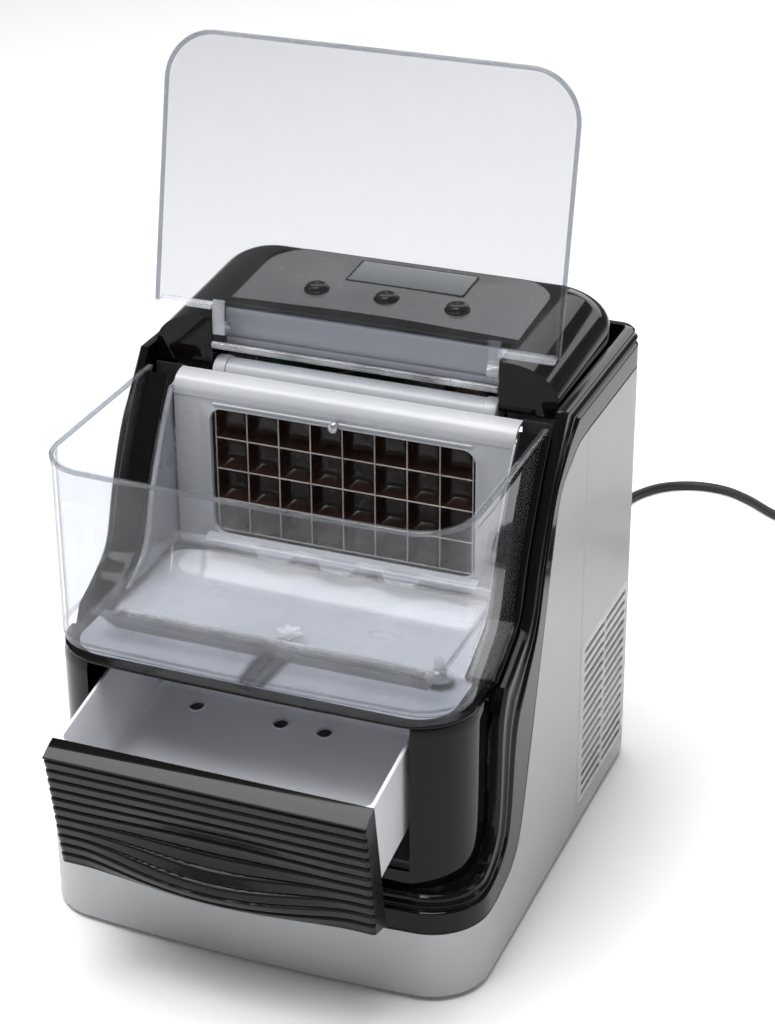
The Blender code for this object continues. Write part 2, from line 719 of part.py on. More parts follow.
def drip_ledge():
    """Sloping ledge under the cells with three tongues that guide the water down."""
    half = GRID_HALF + 6 * MM
    back = GRID_Y - 3 * MM - GAP
    top = GRID_FOOT - 1 * MM
    outline = [(-half, back - 8 * MM)]
    for centre in (-GRID_HALF / 2, 0, GRID_HALF / 2):
        outline += [(centre - 12 * MM, back - 8 * MM), (centre - 9 * MM, back - 12 * MM),
                    (centre + 9 * MM, back - 12 * MM), (centre + 12 * MM, back - 8 * MM)]
    outline += [(half, back - 8 * MM), (half, back), (-half, back)]
    ledge = prism("drip_ledge", outline, "Z", top - 2 * MM, top, white())
    for vertex in ledge.data.vertices:
        vertex.co.z += (vertex.co.y - back) * 0.4


def water_bar():
    """Round water distributor above the cells."""
    y, z, radius = GRID_Y + 24 * MM, TRIM_TOP - 15.5 * MM, 10.5 * MM
    half = COVER_HALF - CHEEK_WIDTH - 0.5 * MM
    turned("water_distributor", [(radius - 1 * MM, -half), (radius, -half + 1 * MM),
                                 (radius, half - 1 * MM), (radius - 1 * MM, half)],
           (0, y, z), "X", white(), 20)


def probe():
    """Metal ice probe in the frame above the cells."""
    profile = [(2 * MM, -9 * MM), (3.4 * MM, -8 * MM), (3.4 * MM, -4 * MM), (1.6 * MM, -3.5 * MM),
               (1.6 * MM, -GAP)]
    y = GRID_Y - 3 * MM
    turned("ice_probe", profile, (-2 * MM, y, GRID_TOP + 3 * MM), "Y", steel(), 10)


# ---------------------------------------------------------------- drawer


def front_face(x, up):
    """How far the drawer's front stands ahead of its back face, at a height above its foot."""
    height = DRAWER_FRONT_HEIGHT
    across = max(0.0, 1 - (x / (DRAWER_FRONT_WIDTH * 0.42)) ** 2) ** 1.5
    lip = math.exp(-((up - 0.17 * height) / (0.13 * height)) ** 2)
    grip = math.exp(-((up - 0.48 * height) / (0.15 * height)) ** 2)
    lean = DRAWER_FRONT_LEAN * (1 - up / height)
    return DRAWER_FRONT_THICK + lean + across * (DRAWER_LIP * lip - 0.45 * DRAWER_LIP * grip)


def drawer_front():
    """Thick front with a sloping top, a hollow for the fingers and a lip below it."""
    half = DRAWER_FRONT_WIDTH / 2
    height = DRAWER_FRONT_HEIGHT
    rings = []
    for x in np.linspace(-half, half, 19):
        face = [(x, -front_face(x, up), up)
                for up in np.linspace(8.5 * MM, height - DRAWER_SLOPE, 10)]
        rings.append([(x, 0, 0)] + face + [(x, 0, height)])
    front = loft("drawer_front", rings, satin_black())
    return move_mesh(front, (0, -DRAWER_PIVOT_BACK, -TUB_ABOVE - DRAWER_PIVOT_UP))


def drawer_tub():
    """Open tub with three drain holes in its floor and a pin hole in each side."""
    half = TUB_HALF
    low = (-half, -DRAWER_PIVOT_BACK + GAP, -DRAWER_PIVOT_UP)
    high = (half, -DRAWER_PIVOT_BACK + TUB_LENGTH, TUB_DEPTH - DRAWER_PIVOT_UP)
    tub = box("drawer_tub", low, high, white())
    inner_low = [v + TUB_WALL for v in low]
    inner_high = (half - TUB_WALL, high[1] - TUB_WALL, REACH)
    cut(tub, box("tub_hollow", inner_low, inner_high, white()))
    back = high[1] - 18 * MM
    for x in (-69 * MM, -10 * MM, 20 * MM):
        hole(tub, (x, back, low[2]), 5 * MM, "Z", 9 * MM, 14)
    hole(tub, (0, 0, 0), PIN_RADIUS + GAP, "X", REACH, 12)
    return tub


def drawer():
    """The drawer, tipped about the pins of its sliders, and the sliders themselves."""
    hold([drawer_front(), drawer_tub()], (0, PIVOT_Y, PIVOT_Z), DRAWER_TILT, "drawer_pivot")
    inner = TUB_HALF + 0.6 * MM
    for name, side in (("drawer_slider_left", -1), ("drawer_slider_right", 1)):
        low, high = sorted((side * inner, side * (inner + SLIDER_THICK)))
        block = box(name, (low, PIVOT_Y - SLIDER_LENGTH / 2, PIVOT_Z - SLIDER_HEIGHT / 2),
                    (high, PIVOT_Y + SLIDER_LENGTH / 2, PIVOT_Z + SLIDER_HEIGHT / 2), white())
        ends = sorted((side * (inner + 1 * MM), side * (TUB_HALF - TUB_WALL)))
        pin = turned(f"{name}_pin", [(PIN_RADIUS, ends[0]), (PIN_RADIUS, ends[1])],
                     (0, PIVOT_Y, PIVOT_Z), "X", white(), 12)
        join(block, pin)


def drawer_guide(name, side):
    """Fixed channel in which a slider runs."""
    inner = TUB_HALF + 1 * MM
    back = inner + SLIDER_THICK + 0.4 * MM
    outer = back + 2 * MM
    run = SLIDER_HEIGHT / 2 + 0.5 * MM
    flange = run + 2 * MM
    outline = [(inner, -flange), (outer, -flange), (outer, flange), (inner, flange),
               (inner, run), (back, run), (back, -run), (inner, -run)]
    outline = [(side * x, PIVOT_Z + z) for x, z in outline]
    front = DRAWER_BACK_Y + 6 * MM
    end = PIVOT_Y + DRAWER_OUT + SLIDER_LENGTH / 2 + 4 * MM
    prism(name, outline, "Y", front, end, grey())


# ---------------------------------------------------------------- top


def cover_top(y):
    """Height of the cover's top at a distance back, falling off round its rear edge."""
    rise = (y - CHEEK_FRONT) / (COVER_BACK - CHEEK_FRONT)
    crown = COVER_FRONT_TOP + (COVER_BACK_TOP - COVER_FRONT_TOP) * min(1.0, 1.25 * rise)
    left = COVER_BACK - y
    round_off = 22 * MM
    if left < round_off:
        crown -= (crown - COVER_FOOT - 12 * MM) * (1 - math.sqrt(1 - (1 - left / round_off) ** 2))
    return crown


def cover_half(y, inset=0.0):
    """Half width of the cover at a distance back, rounded in plan at its rear corners."""
    corner = 34 * MM
    left = COVER_BACK - inset - y
    half = COVER_HALF - inset
    if left >= corner:
        return half
    return half - corner + math.sqrt(max(0.0, corner**2 - (corner - left) ** 2))


def cover_section(y, inset, foot):
    """Cross-section of the cover: upright sides, round shoulders and a level top."""
    half = cover_half(y, inset)
    top = cover_top(min(y + inset, COVER_BACK)) - inset
    drop = min(SHOULDER_DROP, (top - COVER_FOOT) * 0.7)
    width = min(SHOULDER_WIDTH, half * 0.5)
    side = [(half, foot)]
    for i in range(6):
        angle = math.radians(90 * i / 5)
        side.append((half - width + width * math.cos(angle), top - drop + drop * math.sin(angle)))
    section = side + [(-x, z) for x, z in side[::-1]]
    return [(x, y, z) for x, z in section]


def panel_outline(inset=0.0):
    """Control panel seen from above: arched front edge, round rear corners."""
    half = PANEL_WIDTH / 2 - inset
    front = FACE_Y + PANEL_BACK_BY + inset
    back = front + PANEL_LENGTH - 2 * inset
    radius = PANEL_CORNER - inset
    points = [(x, front + 3 * MM * (1 - (x / half) ** 2)) for x in np.linspace(-half, half, 9)]
    for cx, start in ((half - radius, 0), (-half + radius, 90)):
        for i in range(6):
            angle = math.radians(start + 90 * i / 5)
            points.append((cx + radius * math.cos(angle), back - radius + radius * math.sin(angle)))
    return points


def on_slope(piece, lift=0.0):
    """Shears a level piece so that it follows the slope of the cover's top."""
    for vertex in piece.data.vertices:
        vertex.co.z += cover_slope() * (vertex.co.y - FACE_Y) + lift
    return piece


def cover_slope():
    """Rise of the cover's top per length towards the back."""
    return 1.25 * (COVER_BACK_TOP - COVER_FRONT_TOP) / (COVER_BACK - CHEEK_FRONT)


def top_cover():
    """Gloss black cover with a cheek on each side of the lid's hinge."""
    stations = [CHEEK_FRONT, FACE_Y, FACE_Y + 40 * MM, COVER_BACK - 34 * MM, COVER_BACK - 22 * MM,
                COVER_BACK - 14 * MM, COVER_BACK - 7 * MM, COVER_BACK - 2.5 * MM, COVER_BACK - 0.3 * MM]
    rings = [cover_section(y, 0.0, COVER_FOOT) for y in stations]
    cover = loft("top_cover", rings, gloss_black())
    inner = [FACE_Y + 4 * MM, FACE_Y + 40 * MM, COVER_BACK - 36 * MM, COVER_BACK - 24 * MM,
             COVER_BACK - 14 * MM, COVER_BACK - 8 * MM, COVER_BACK - 4 * MM]
    rings = [cover_section(y, COVER_WALL, COVER_FOOT - 20 * MM) for y in inner]
    cut(cover, loft("cover_hollow", rings, gloss_black()))
    half = COVER_HALF - CHEEK_WIDTH
    cut(cover, box("cheek_gap", (-half, CHEEK_FRONT - 9 * MM, COVER_FOOT - 9 * MM),
                   (half, FACE_Y + 1.5 * MM + GAP, REACH), gloss_black()))
    level = cover_top(FACE_Y) - PANEL_THICK - GAP
    pocket = prism("panel_pocket", panel_outline(-GAP), "Z", level, level + 30 * MM, gloss_black())
    cut(cover, on_slope(pocket))
    window = prism("panel_window", panel_outline(5 * MM), "Z", level - 30 * MM, level + 9 * MM,
                   gloss_black())
    cut(cover, on_slope(window))
    hole(cover, (0, HINGE_Y, HINGE_Z), HINGE_PIN_RADIUS + GAP,
         "X", COVER_HALF - CHEEK_WIDTH + 12 * MM, 12)


def face_plate():
    """Grey upright plate between the cheeks, under the control panel's front edge."""
    half = COVER_HALF - CHEEK_WIDTH - GAP
    box("face_plate", (-half, FACE_Y - 0.5 * MM, COVER_FOOT + 7 * MM),
        (half, FACE_Y + 1.5 * MM, COVER_FRONT_TOP - 1 * MM), grey())


def control_panel():
    """Satin panel with a display window and three button holes."""
    level = cover_top(FACE_Y) - PANEL_THICK
    outline = panel_outline()
    panel = prism("control_panel", outline, "Z", level, level + PANEL_THICK, satin_black())
    on_slope(panel)
    for k in (-1, 0, 1):
        x, y = button_place(k)
        hole(panel, (x, y, level), BUTTON_RADIUS + GAP, "Z", 30 * MM, 20)
    low, high = display_corners(0.0)
    cut(panel, box("display_window", (*low, 0), (*high, REACH), satin_black()))


def button_place(k):
    """Centre of button k, counted from the middle one."""
    return k * BUTTON_SPACING, FACE_Y + BUTTON_BACK_BY


def display_corners(inset):
    """Low and high corners of the display, seen from above."""
    front = FACE_Y + DISPLAY_BACK_BY
    return (
        (DISPLAY_OFFSET - DISPLAY_WIDTH / 2 + inset, front + inset),
        (DISPLAY_OFFSET + DISPLAY_WIDTH / 2 - inset, front + DISPLAY_LENGTH - inset),
    )


def display():
    """Display glass in its window and the module under it."""
    level = cover_top(FACE_Y)
    low, high = display_corners(GAP)
    on_slope(box("display_glass", (*low, level - PANEL_THICK), (*high, level - 0.4 * MM), grey()))
    on_slope(box("display_module", (*low, level - 9 * MM), (*high, level - PANEL_THICK - GAP), green()))


def buttons():
    """Three round push buttons through the control panel."""
    for name, k in (("button_left", -1), ("button_middle", 0), ("button_right", 1)):
        x, y = button_place(k)
        z = cover_top(FACE_Y) + cover_slope() * (y - FACE_Y)
        r = BUTTON_RADIUS
        profile = [(r, 0), (r, BUTTON_HEIGHT - 2 * MM), (r * 0.9, BUTTON_HEIGHT - 0.6 * MM),
                   (r * 0.5, BUTTON_HEIGHT - 0.3 * MM), (0, BUTTON_HEIGHT - 0.5 * MM)]
        button = turned(name, profile, (0, 0, 0), "Z", gloss_black(), 20)
        button.location = (x, y, z + 4.5 * MM - BUTTON_HEIGHT)


def lid():
    """Clear lid standing open, with a narrow tail between the cheeks that carries its knuckles."""
    half = LID_HALF
    length = LID_LENGTH
    start = 16 * MM
    outline = [(-half, start), (half, start)]
    for cx, begin in ((half - LID_RADIUS, 0), (-half + LID_RADIUS, 90)):
        for i in range(7):
            angle = math.radians(begin + 15 * i)
            outline.append((cx + LID_RADIUS * math.cos(angle),
                            start + length - LID_RADIUS + LID_RADIUS * math.sin(angle)))
    ahead = 6.5 * MM
    sheet = prism("lid", outline, "Y", -ahead - LID_WALL / 2, -ahead + LID_WALL / 2, clear())
    bend = [(-ahead, start + 2 * MM), (-4.5 * MM, 8 * MM), (-3.5 * MM, -2 * MM), (-5 * MM, -10 * MM)]
    wall = LID_WALL / 2
    profile = [(y - wall, z) for y, z in bend] + [(y + wall, z) for y, z in bend[::-1]]
    join(sheet, prism("lid_tail", profile, "X", -TAIL_HALF, TAIL_HALF, clear()))
    for side in (-1, 1):
        ends = sorted((side * TAIL_HALF, side * (TAIL_HALF - KNUCKLE_WIDTH)))
        join(sheet, turned(f"knuckle_{side}", [(KNUCKLE_RADIUS, ends[0]), (KNUCKLE_RADIUS, ends[1])],
                           (0, 0, 0), "X", clear(), 16))
    hole(sheet, (0, 0, 0), HINGE_PIN_RADIUS + GAP, "X", REACH, 12)
    hold([sheet], (0, HINGE_Y, HINGE_Z), -LID_LEAN, "lid_hinge")
    reach = COVER_HALF - CHEEK_WIDTH + 9 * MM
    for name, side in (("lid_pin_left", -1), ("lid_pin_right", 1)):
        ends = sorted((side * (TAIL_HALF - KNUCKLE_WIDTH - 1 * MM), side * reach))
        turned(name, [(HINGE_PIN_RADIUS, ends[0]), (HINGE_PIN_RADIUS, ends[1])],
               (0, HINGE_Y, HINGE_Z), "X", steel(), 12)


# ---------------------------------------------------------------- inside


def water_tank():
    """Open tank under the drawer."""
    half = 118 * MM
    low = (-half, FRONT_Y + 26 * MM, FLOOR_Z + GAP)
    high = (half, PIVOT_Y + DRAWER_OUT + 8 * MM, DRAWER_FOOT - 8 * MM)
    wall = 2.5 * MM
    tank = box("water_tank", low, high, white())
    inner_high = (high[0] - wall, high[1] - wall, REACH)
    cut(tank, box("tank_hollow", [v + wall for v in low], inner_high, white()))


def water_pump():
    """Small pump behind the tank, with its hose up to the distributor."""
    x, y = 92 * MM, PIVOT_Y + DRAWER_OUT + 34 * MM
    foot = FLOOR_Z + GAP
    profile = [(17 * MM, 0), (17 * MM, 34 * MM), (12 * MM, 37 * MM), (5 * MM, 37.5 * MM),
               (5 * MM, 46 * MM)]
    turned("water_pump", profile, (x, y, foot), "Z", satin_black(), 16)
    top = foot + 46 * MM + 2 * GAP
    bar_y, bar_z = GRID_Y + 24 * MM, TRIM_TOP - 15.5 * MM
    end = bar_y + 10.5 * MM + GAP
    route = smooth([(x, y, top), (x, y, top + 30 * MM), (x + 6 * MM, y + 24 * MM, top + 80 * MM),
                    (x + 4 * MM, end + 24 * MM, bar_z - 90 * MM),
                    (x - 4 * MM, end + 26 * MM, bar_z - 30 * MM),
                    (x - 10 * MM, end + 17 * MM, bar_z - 6 * MM),
                    (x - 12 * MM, end + 8 * MM, bar_z), (x - 12 * MM, end, bar_z)], 4)
    tube("water_hose", route, 4.5 * MM, rubber())


def compressor():
    """Welded steel compressor shell on the base plate."""
    x, y = -62 * MM, REAR_Y - 62 * MM
    r, h = COMPRESSOR_RADIUS, COMPRESSOR_HEIGHT
    profile = [(r * 0.7, 0), (r * 0.72, 8 * MM), (r * 0.93, 12 * MM), (r, 24 * MM), (r, h * 0.55),
               (r * 1.04, h * 0.56), (r * 1.04, h * 0.6), (r, h * 0.61), (r * 0.98, h * 0.8),
               (r * 0.85, h * 0.92), (r * 0.55, h * 0.985), (0, h)]
    turned("compressor", profile, (x, y, FLOOR_Z + GAP), "Z", gloss_black(), 24)
    return x, y


def condenser():
    """Finned block behind the right-hand vent."""
    outer = CASE_WIDTH / 2 - CASE_WALL - 3 * MM
    low = (outer - CONDENSER_THICK, FAN_Y - 47 * MM, VENT_FOOT + 2 * MM)
    high = (outer, FAN_Y + 47 * MM, VENT_FOOT + VENT_HEIGHT - 4 * MM)
    fins = 12
    pitch = (high[2] - low[2]) / fins
    zs = []
    for i in range(fins):
        zs += [low[2] + i * pitch, low[2] + i * pitch + pitch * 0.4]
    xs = [low[0], low[0] + 7 * MM, high[0] - 7 * MM, high[0]]
    lattice("condenser", xs, zs, lambda i, j: i == 1 or j % 2 == 0, "Y", low[1], high[1],
            material("aluminium", (0.7, 0.71, 0.72), 0.4, 1.0))
    return low[0]


def fan(condenser_face):
    """Fan that draws air through the condenser: shroud, motor and rotor on one line along X."""
    r = FAN_RADIUS
    frame = r + 5 * MM
    shroud_x = condenser_face - 12 * MM
    outline = rounded_rect(FAN_Y - frame, FAN_Z - frame, FAN_Y + frame, FAN_Z + frame, 6 * MM, 3)
    shroud = prism("fan_shroud", outline, "X", shroud_x, condenser_face - GAP, satin_black())
    hole(shroud, (0, FAN_Y, FAN_Z), r + 2 * MM, "X", REACH, 28)
    motor_face = shroud_x - 8 * MM
    profile = [(19 * MM, -30 * MM), (19 * MM, -6 * MM), (9 * MM, -4 * MM), (9 * MM, 0)]
    motor = turned("fan_motor", profile, (motor_face, FAN_Y, FAN_Z), "X", steel(), 18)
    low = (motor_face - 32 * MM, FAN_Y - 12 * MM, FLOOR_Z + GAP)
    high = (motor_face - 28 * MM, FAN_Y + 12 * MM, FAN_Z + 12 * MM)
    join(motor, box("motor_bracket", low, high, steel()))
    hub = 12 * MM
    rotor = turned("fan_rotor", [(hub, 0), (hub, 13 * MM), (hub * 0.8, 15 * MM)], (0, 0, 0), "X",
                   satin_black(), 15)
    for k in range(FAN_BLADES):
        start = 2 * math.pi * k / FAN_BLADES
        faces = []
        for radius in (hub - 1.5 * MM, r * 0.65, r):
            width = 0.42 - 0.05 * radius / r
            corners = []
            for angle, depth in ((start - width, 3 * MM), (start + width, 10 * MM)):
                place = (radius * math.cos(angle), radius * math.sin(angle))
                corners += [(depth, *place), (depth + 1.4 * MM, *place)]
            faces.append([corners[0], corners[2], corners[3], corners[1]])
        join(rotor, loft(f"blade_{k}", faces, satin_black()))
    hold([rotor], (motor_face + GAP, FAN_Y, FAN_Z), 0.0, "fan_axis")


def pipes(compressor_x, compressor_y, condenser_face):
    """Refrigerant circuit: discharge, liquid and suction lines, and the filter drier."""
    top = FLOOR_Z + COMPRESSOR_HEIGHT
    coil_y = GRID_Y + CELL_DEPTH + 1.5 * MM + 2 * GAP + COIL_RADIUS
    reach = GRID_HALF - 12 * MM
    right = compressor_x + COMPRESSOR_RADIUS * 1.04 + GAP
    level = top - 70 * MM
    inlet = condenser_face + 10 * MM
    over = VENT_FOOT + VENT_HEIGHT + 10 * MM
    discharge = smooth([
        (right, compressor_y, level), (right + 9 * MM, compressor_y, level + 4 * MM),
        (right + 11 * MM, compressor_y, level + 30 * MM), (right + 20 * MM, compressor_y, over),
        (inlet - 30 * MM, compressor_y, over + 12 * MM), (inlet - 5 * MM, compressor_y, over + 10 * MM),
        (inlet, compressor_y, over - 2 * MM),
        (inlet, compressor_y, VENT_FOOT + VENT_HEIGHT - 3 * MM)], 3)
    tube("discharge_line", discharge, PIPE_RADIUS, copper())
    drier_x, drier_y, drier_z = 20 * MM, REAR_Y - 24 * MM, over + 52 * MM
    profile = [(3 * MM, 0), (3 * MM, 6 * MM), (9 * MM, 12 * MM), (9 * MM, 58 * MM), (3 * MM, 64 * MM),
               (3 * MM, 70 * MM)]
    turned("filter_drier", profile, (drier_x, drier_y, drier_z), "Z", copper(), 14)
    first = GRID_TOP - 0.5 * CELL_PITCH
    liquid = smooth([
        (drier_x, drier_y, drier_z + 70 * MM + 2 * GAP), (drier_x, drier_y, drier_z + 78 * MM),
        (drier_x - 20 * MM, drier_y - 14 * MM, drier_z + 84 * MM),
        (-reach - 14 * MM, coil_y + 24 * MM, first + 8 * MM),
        (-reach - 20 * MM, coil_y + 4 * MM, first + 1 * MM), (-reach - GAP, coil_y, first)], 3)
    tube("liquid_line", liquid, 1.5 * MM, copper(), 0)
    last = GRID_TOP - (CELL_ROWS - 0.5) * CELL_PITCH
    end_side = -1 if CELL_ROWS % 2 == 0 else 1
    suction = smooth([
        (end_side * reach + end_side * GAP, coil_y, last),
        (end_side * (reach + 14 * MM), coil_y + 2 * MM, last - 2 * MM),
        (end_side * (reach + 20 * MM), coil_y + 22 * MM, last - 24 * MM),
        (compressor_x + end_side * 10 * MM, compressor_y, top + 46 * MM),
        (compressor_x, compressor_y, top + 24 * MM), (compressor_x, compressor_y, top + 2 * GAP)], 3)
    tube("suction_line", suction, PIPE_RADIUS, copper())


def control_board():
    """Circuit board on the inside of the back, above the compressor."""
    x0, x1 = -112 * MM, -16 * MM
    z0 = FLOOR_Z + COMPRESSOR_HEIGHT + 72 * MM
    board = box("control_board", (x0, REAR_Y - 16 * MM, z0), (x1, REAR_Y - 14 * MM, z0 + 70 * MM),
                green())
    for k, (x, z, size) in enumerate(((-92, 20, 22), (-60, 44, 16), (-36, 18, 14))):
        join(board, box(f"board_block_{k}", (x * MM, REAR_Y - 30 * MM, z0 + z * MM - 8 * MM),
                        ((x + size) * MM, REAR_Y - 15 * MM, z0 + z * MM + 12 * MM), green()))


def drain():
    """Drain spout through the back with a rubber plug that pulls out."""
    centre = (-EXIT_RIGHT, REAR_Y, EXIT_UP)
    r = DRAIN_RADIUS
    spout = turned("drain_spout", [(r, -9 * MM), (r, DRAIN_REACH - 5 * MM)], centre, "Y", white(), 16)
    hole(spout, centre, r - 3 * MM, "Y", REACH, 12)
    stem = r - 3 * MM - GAP
    plug = turned("drain_plug", [(stem, -9 * MM), (stem, -4.7 * MM), (r, -4.7 * MM), (r, -1 * MM),
                                 (r - 1 * MM, 0)], (0, 0, 0), "Y", rubber(), 14)
    plug.location = (centre[0], REAR_Y + DRAIN_REACH, EXIT_UP)


# ---------------------------------------------------------------- mains cord


def strain_relief():
    """Tapered rubber sleeve where the cord leaves the back."""
    profile = [(8 * MM, -9 * MM), (8 * MM, -2 * MM - GAP), (6 * MM, -2 * MM - GAP), (6 * MM, GAP),
               (8 * MM, GAP), (8 * MM, 4 * MM), (4.6 * MM, RELIEF_LENGTH)]
    turned("strain_relief", profile, (EXIT_RIGHT, REAR_Y, EXIT_UP), "Y", rubber(), 16)


def cord():
    """Cord along the ground, its coil and its plug."""
    ground = CORD_RADIUS + 0.3 * MM
    start = REAR_Y + RELIEF_LENGTH
    route = [(95, 0.3, 32), (95, 9, 31.9), (95, 24, 28.5), (94, 44, 18.5), (91, 64, 8.5), (87, 84, 4),
             (72, 140, 3.8), (56, 200, 3.8), (43, 255, 3.8), (36, 300, 3.8), (36, 330, 3.8),
             (44, 352, 3.8), (60, 371, 3.8), (84, 382, 3.8), (110, 382, 3.8), (134, 371, 3.8),
             (160, 353, 3.8), (190, 343, 3.8), (220, 341.5, 3.8), (239.6, 341.5, 3.8)]
    points = [(x * MM, start + y * MM, z * MM) for x, y, z in route]
    points = [(x, y, max(z, ground)) for x, y, z in evenly(smooth(points, 6), 5 * CORD_RADIUS)]
    tube("cord_run", points, CORD_RADIUS, rubber(), 2)
    centre = (240 * MM, start + 341.5 * MM - WIND_RADIUS - 3 * CORD_RADIUS - GAP, 0)
    wide = 2 * CORD_RADIUS
    profile = [(WIND_RADIUS - wide, GAP), (WIND_RADIUS + wide - 2 * GAP, GAP),
               (WIND_RADIUS + wide - 2 * GAP, 2 * wide), (WIND_RADIUS - wide, 2 * wide)]
    rings = []
    for i in range(28):
        a = 2 * math.pi * i / 28
        rings.append([(centre[0] + r * math.cos(a), centre[1] + r * math.sin(a), z) for r, z in profile])
    points = [p for one in rings for p in one]
    faces = []
    for i in range(28):
        a, b = 4 * i, 4 * ((i + 1) % 28)
        faces += [[a + k, a + (k + 1) % 4, b + (k + 1) % 4, b + k] for k in range(4)]
    add_mesh("cord_coil", points, faces, rubber())
    plug_at = (centre[0] + WIND_RADIUS + CORD_RADIUS, centre[1] - 50 * MM, PLUG_RADIUS + GAP)
    profile = [(4.5 * MM, 0), (6 * MM, -18 * MM), (13 * MM, -26 * MM), (PLUG_RADIUS, -32 * MM),
               (PLUG_RADIUS, -52 * MM), (PLUG_RADIUS - 1 * MM, -53 * MM)]
    plug = turned("mains_plug", profile, plug_at, "Y", rubber(), 20)
    for side in (-1, 1):
        profile = [(2.4 * MM, -50 * MM), (2.4 * MM, -70 * MM), (1.6 * MM, -72 * MM)]
        place = (plug_at[0] + side * 9.5 * MM, plug_at[1], plug_at[2])
        join(plug, turned(f"plug_pin_{side}", profile, place, "Y", rubber(), 10))


def clear_scene():
    """Removes whatever the scene starts with."""
    for old in list(bpy.data.objects):
        bpy.data.objects.remove(old, do_unlink=True)


def main():
    clear_scene()
    outer_casing()
    side_vent()
    rear_panel()
    base_plate()
    feet()
    trim_frame()
    front_panel()
    deck()
    bin_shell()
    for side, word in ((1, "right"), (-1, "left")):
        side_rail(f"side_rail_{word}", side)
        chute_side(f"chute_side_{word}", side)
        drawer_guide(f"drawer_guide_{word}", side)
    ice_basket()
    evaporator()
    evaporator_surround()
    drip_ledge()
    water_bar()
    probe()
    drawer()
    top_cover()
    face_plate()
    control_panel()
    display()
    buttons()
    lid()
    water_tank()
    water_pump()
    compressor_x, compressor_y = compressor()
    face = condenser()
    fan(face)
    pipes(compressor_x, compressor_y, face)
    control_board()
    drain()
    strain_relief()
    cord()


main()
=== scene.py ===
"""Countertop ice maker: the finished surfaces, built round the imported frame.

Frame: metres, +Z up, the front faces -Y, +X is the right-hand side of somebody standing in front.
Every surface is worked out as whole arrays from a short formula and rides on one body of the frame.
"""

import json
import logging
import math
from dataclasses import dataclass, field
from enum import Enum
from typing import Callable, Iterable, Optional, Sequence

import bmesh
import bpy
import numpy as np
from mathutils import Matrix, Vector

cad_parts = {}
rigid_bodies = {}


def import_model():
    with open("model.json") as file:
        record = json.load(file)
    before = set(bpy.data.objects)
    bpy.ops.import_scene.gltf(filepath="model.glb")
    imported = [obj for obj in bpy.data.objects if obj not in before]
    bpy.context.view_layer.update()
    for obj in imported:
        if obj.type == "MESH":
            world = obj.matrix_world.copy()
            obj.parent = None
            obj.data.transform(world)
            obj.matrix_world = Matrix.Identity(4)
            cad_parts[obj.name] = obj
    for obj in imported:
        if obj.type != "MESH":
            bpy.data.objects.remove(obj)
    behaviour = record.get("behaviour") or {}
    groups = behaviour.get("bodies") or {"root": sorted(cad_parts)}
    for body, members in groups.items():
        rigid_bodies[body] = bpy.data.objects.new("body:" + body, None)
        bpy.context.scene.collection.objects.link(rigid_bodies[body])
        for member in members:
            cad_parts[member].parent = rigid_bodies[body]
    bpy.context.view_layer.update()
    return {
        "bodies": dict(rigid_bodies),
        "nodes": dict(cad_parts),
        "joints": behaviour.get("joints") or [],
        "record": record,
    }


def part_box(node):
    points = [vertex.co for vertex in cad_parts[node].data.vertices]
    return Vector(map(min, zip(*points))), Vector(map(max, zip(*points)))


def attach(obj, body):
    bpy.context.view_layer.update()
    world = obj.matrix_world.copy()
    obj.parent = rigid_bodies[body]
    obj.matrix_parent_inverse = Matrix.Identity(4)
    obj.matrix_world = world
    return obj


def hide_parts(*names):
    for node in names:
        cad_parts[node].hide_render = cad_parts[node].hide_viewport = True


for _startup in list(bpy.data.objects):
    bpy.data.objects.remove(_startup, do_unlink=True)
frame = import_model()

log = logging.getLogger("ice_maker")
MM = 0.001
Array = np.ndarray
Colour = tuple[float, float, float]


class Body(Enum):
    """The bodies of the frame that pieces ride on."""

    HOUSING = "housing"
    LID = "lid"
    CARRIAGE = "drawer_carriage"
    DRAWER = "drawer"
    BASKET = "basket"
    FAN = "fan"
    STOPPER = "drain_stopper"
    BUTTON_LEFT = "button_left_body"
    BUTTON_MIDDLE = "button_middle_body"
    BUTTON_RIGHT = "button_right_body"


class Slot(Enum):
    """The record's material slots."""

    SILVER = "silver_paint"
    GLOSS = "gloss_black"
    SATIN = "satin_dark"
    CLEAR = "clear_plastic"
    WHITE = "white_plastic"
    GREY = "grey_plastic"
    STEEL = "steel"
    COPPER = "copper"
    ALUMINIUM = "aluminium"
    RUBBER = "rubber"
    BOARD = "circuit_board"
    DISPLAY = "display"
    GALVANISED = "galvanised"


# ---------------------------------------------------------------- arrays and surfaces


def spline(points: Sequence, steps: int = 8) -> Array:
    """A smooth curve through given points: each span is the Catmull-Rom cubic of its four neighbours.

    Args:
        points: The points to pass through, each of two or three numbers.
        steps: How many points each span gets.

    Returns:
        The points of the curve, one per row.
    """
    given = np.asarray(points, float)
    ends = np.vstack([2 * given[0] - given[1], given, 2 * given[-1] - given[-2]])
    span = np.repeat(np.arange(len(given) - 1), steps)
    t = np.tile(np.arange(steps) / steps, len(given) - 1)[:, None]
    a, b, c, d = (ends[span + k] for k in range(4))
    run = 0.5 * (2 * b + (c - a) * t + (2 * a - 5 * b + 4 * c - d) * t**2 + (3 * b - a - 3 * c + d) * t**3)
    return np.vstack([run, given[-1]])


def evenly(points: Array, count: int) -> Array:
    """Points at one spacing along a run of points, by its length so far.

    Args:
        points: The run, one point per row.
        count: How many points are wanted.

    Returns:
        The new points, the first and last of them the run's own.
    """
    points = np.asarray(points, float)
    reach = np.r_[0, np.cumsum(np.linalg.norm(np.diff(points, axis=0), axis=1))]
    wanted = np.linspace(0, reach[-1], count)
    return np.stack([np.interp(wanted, reach, points[:, k]) for k in range(points.shape[1])], axis=1)


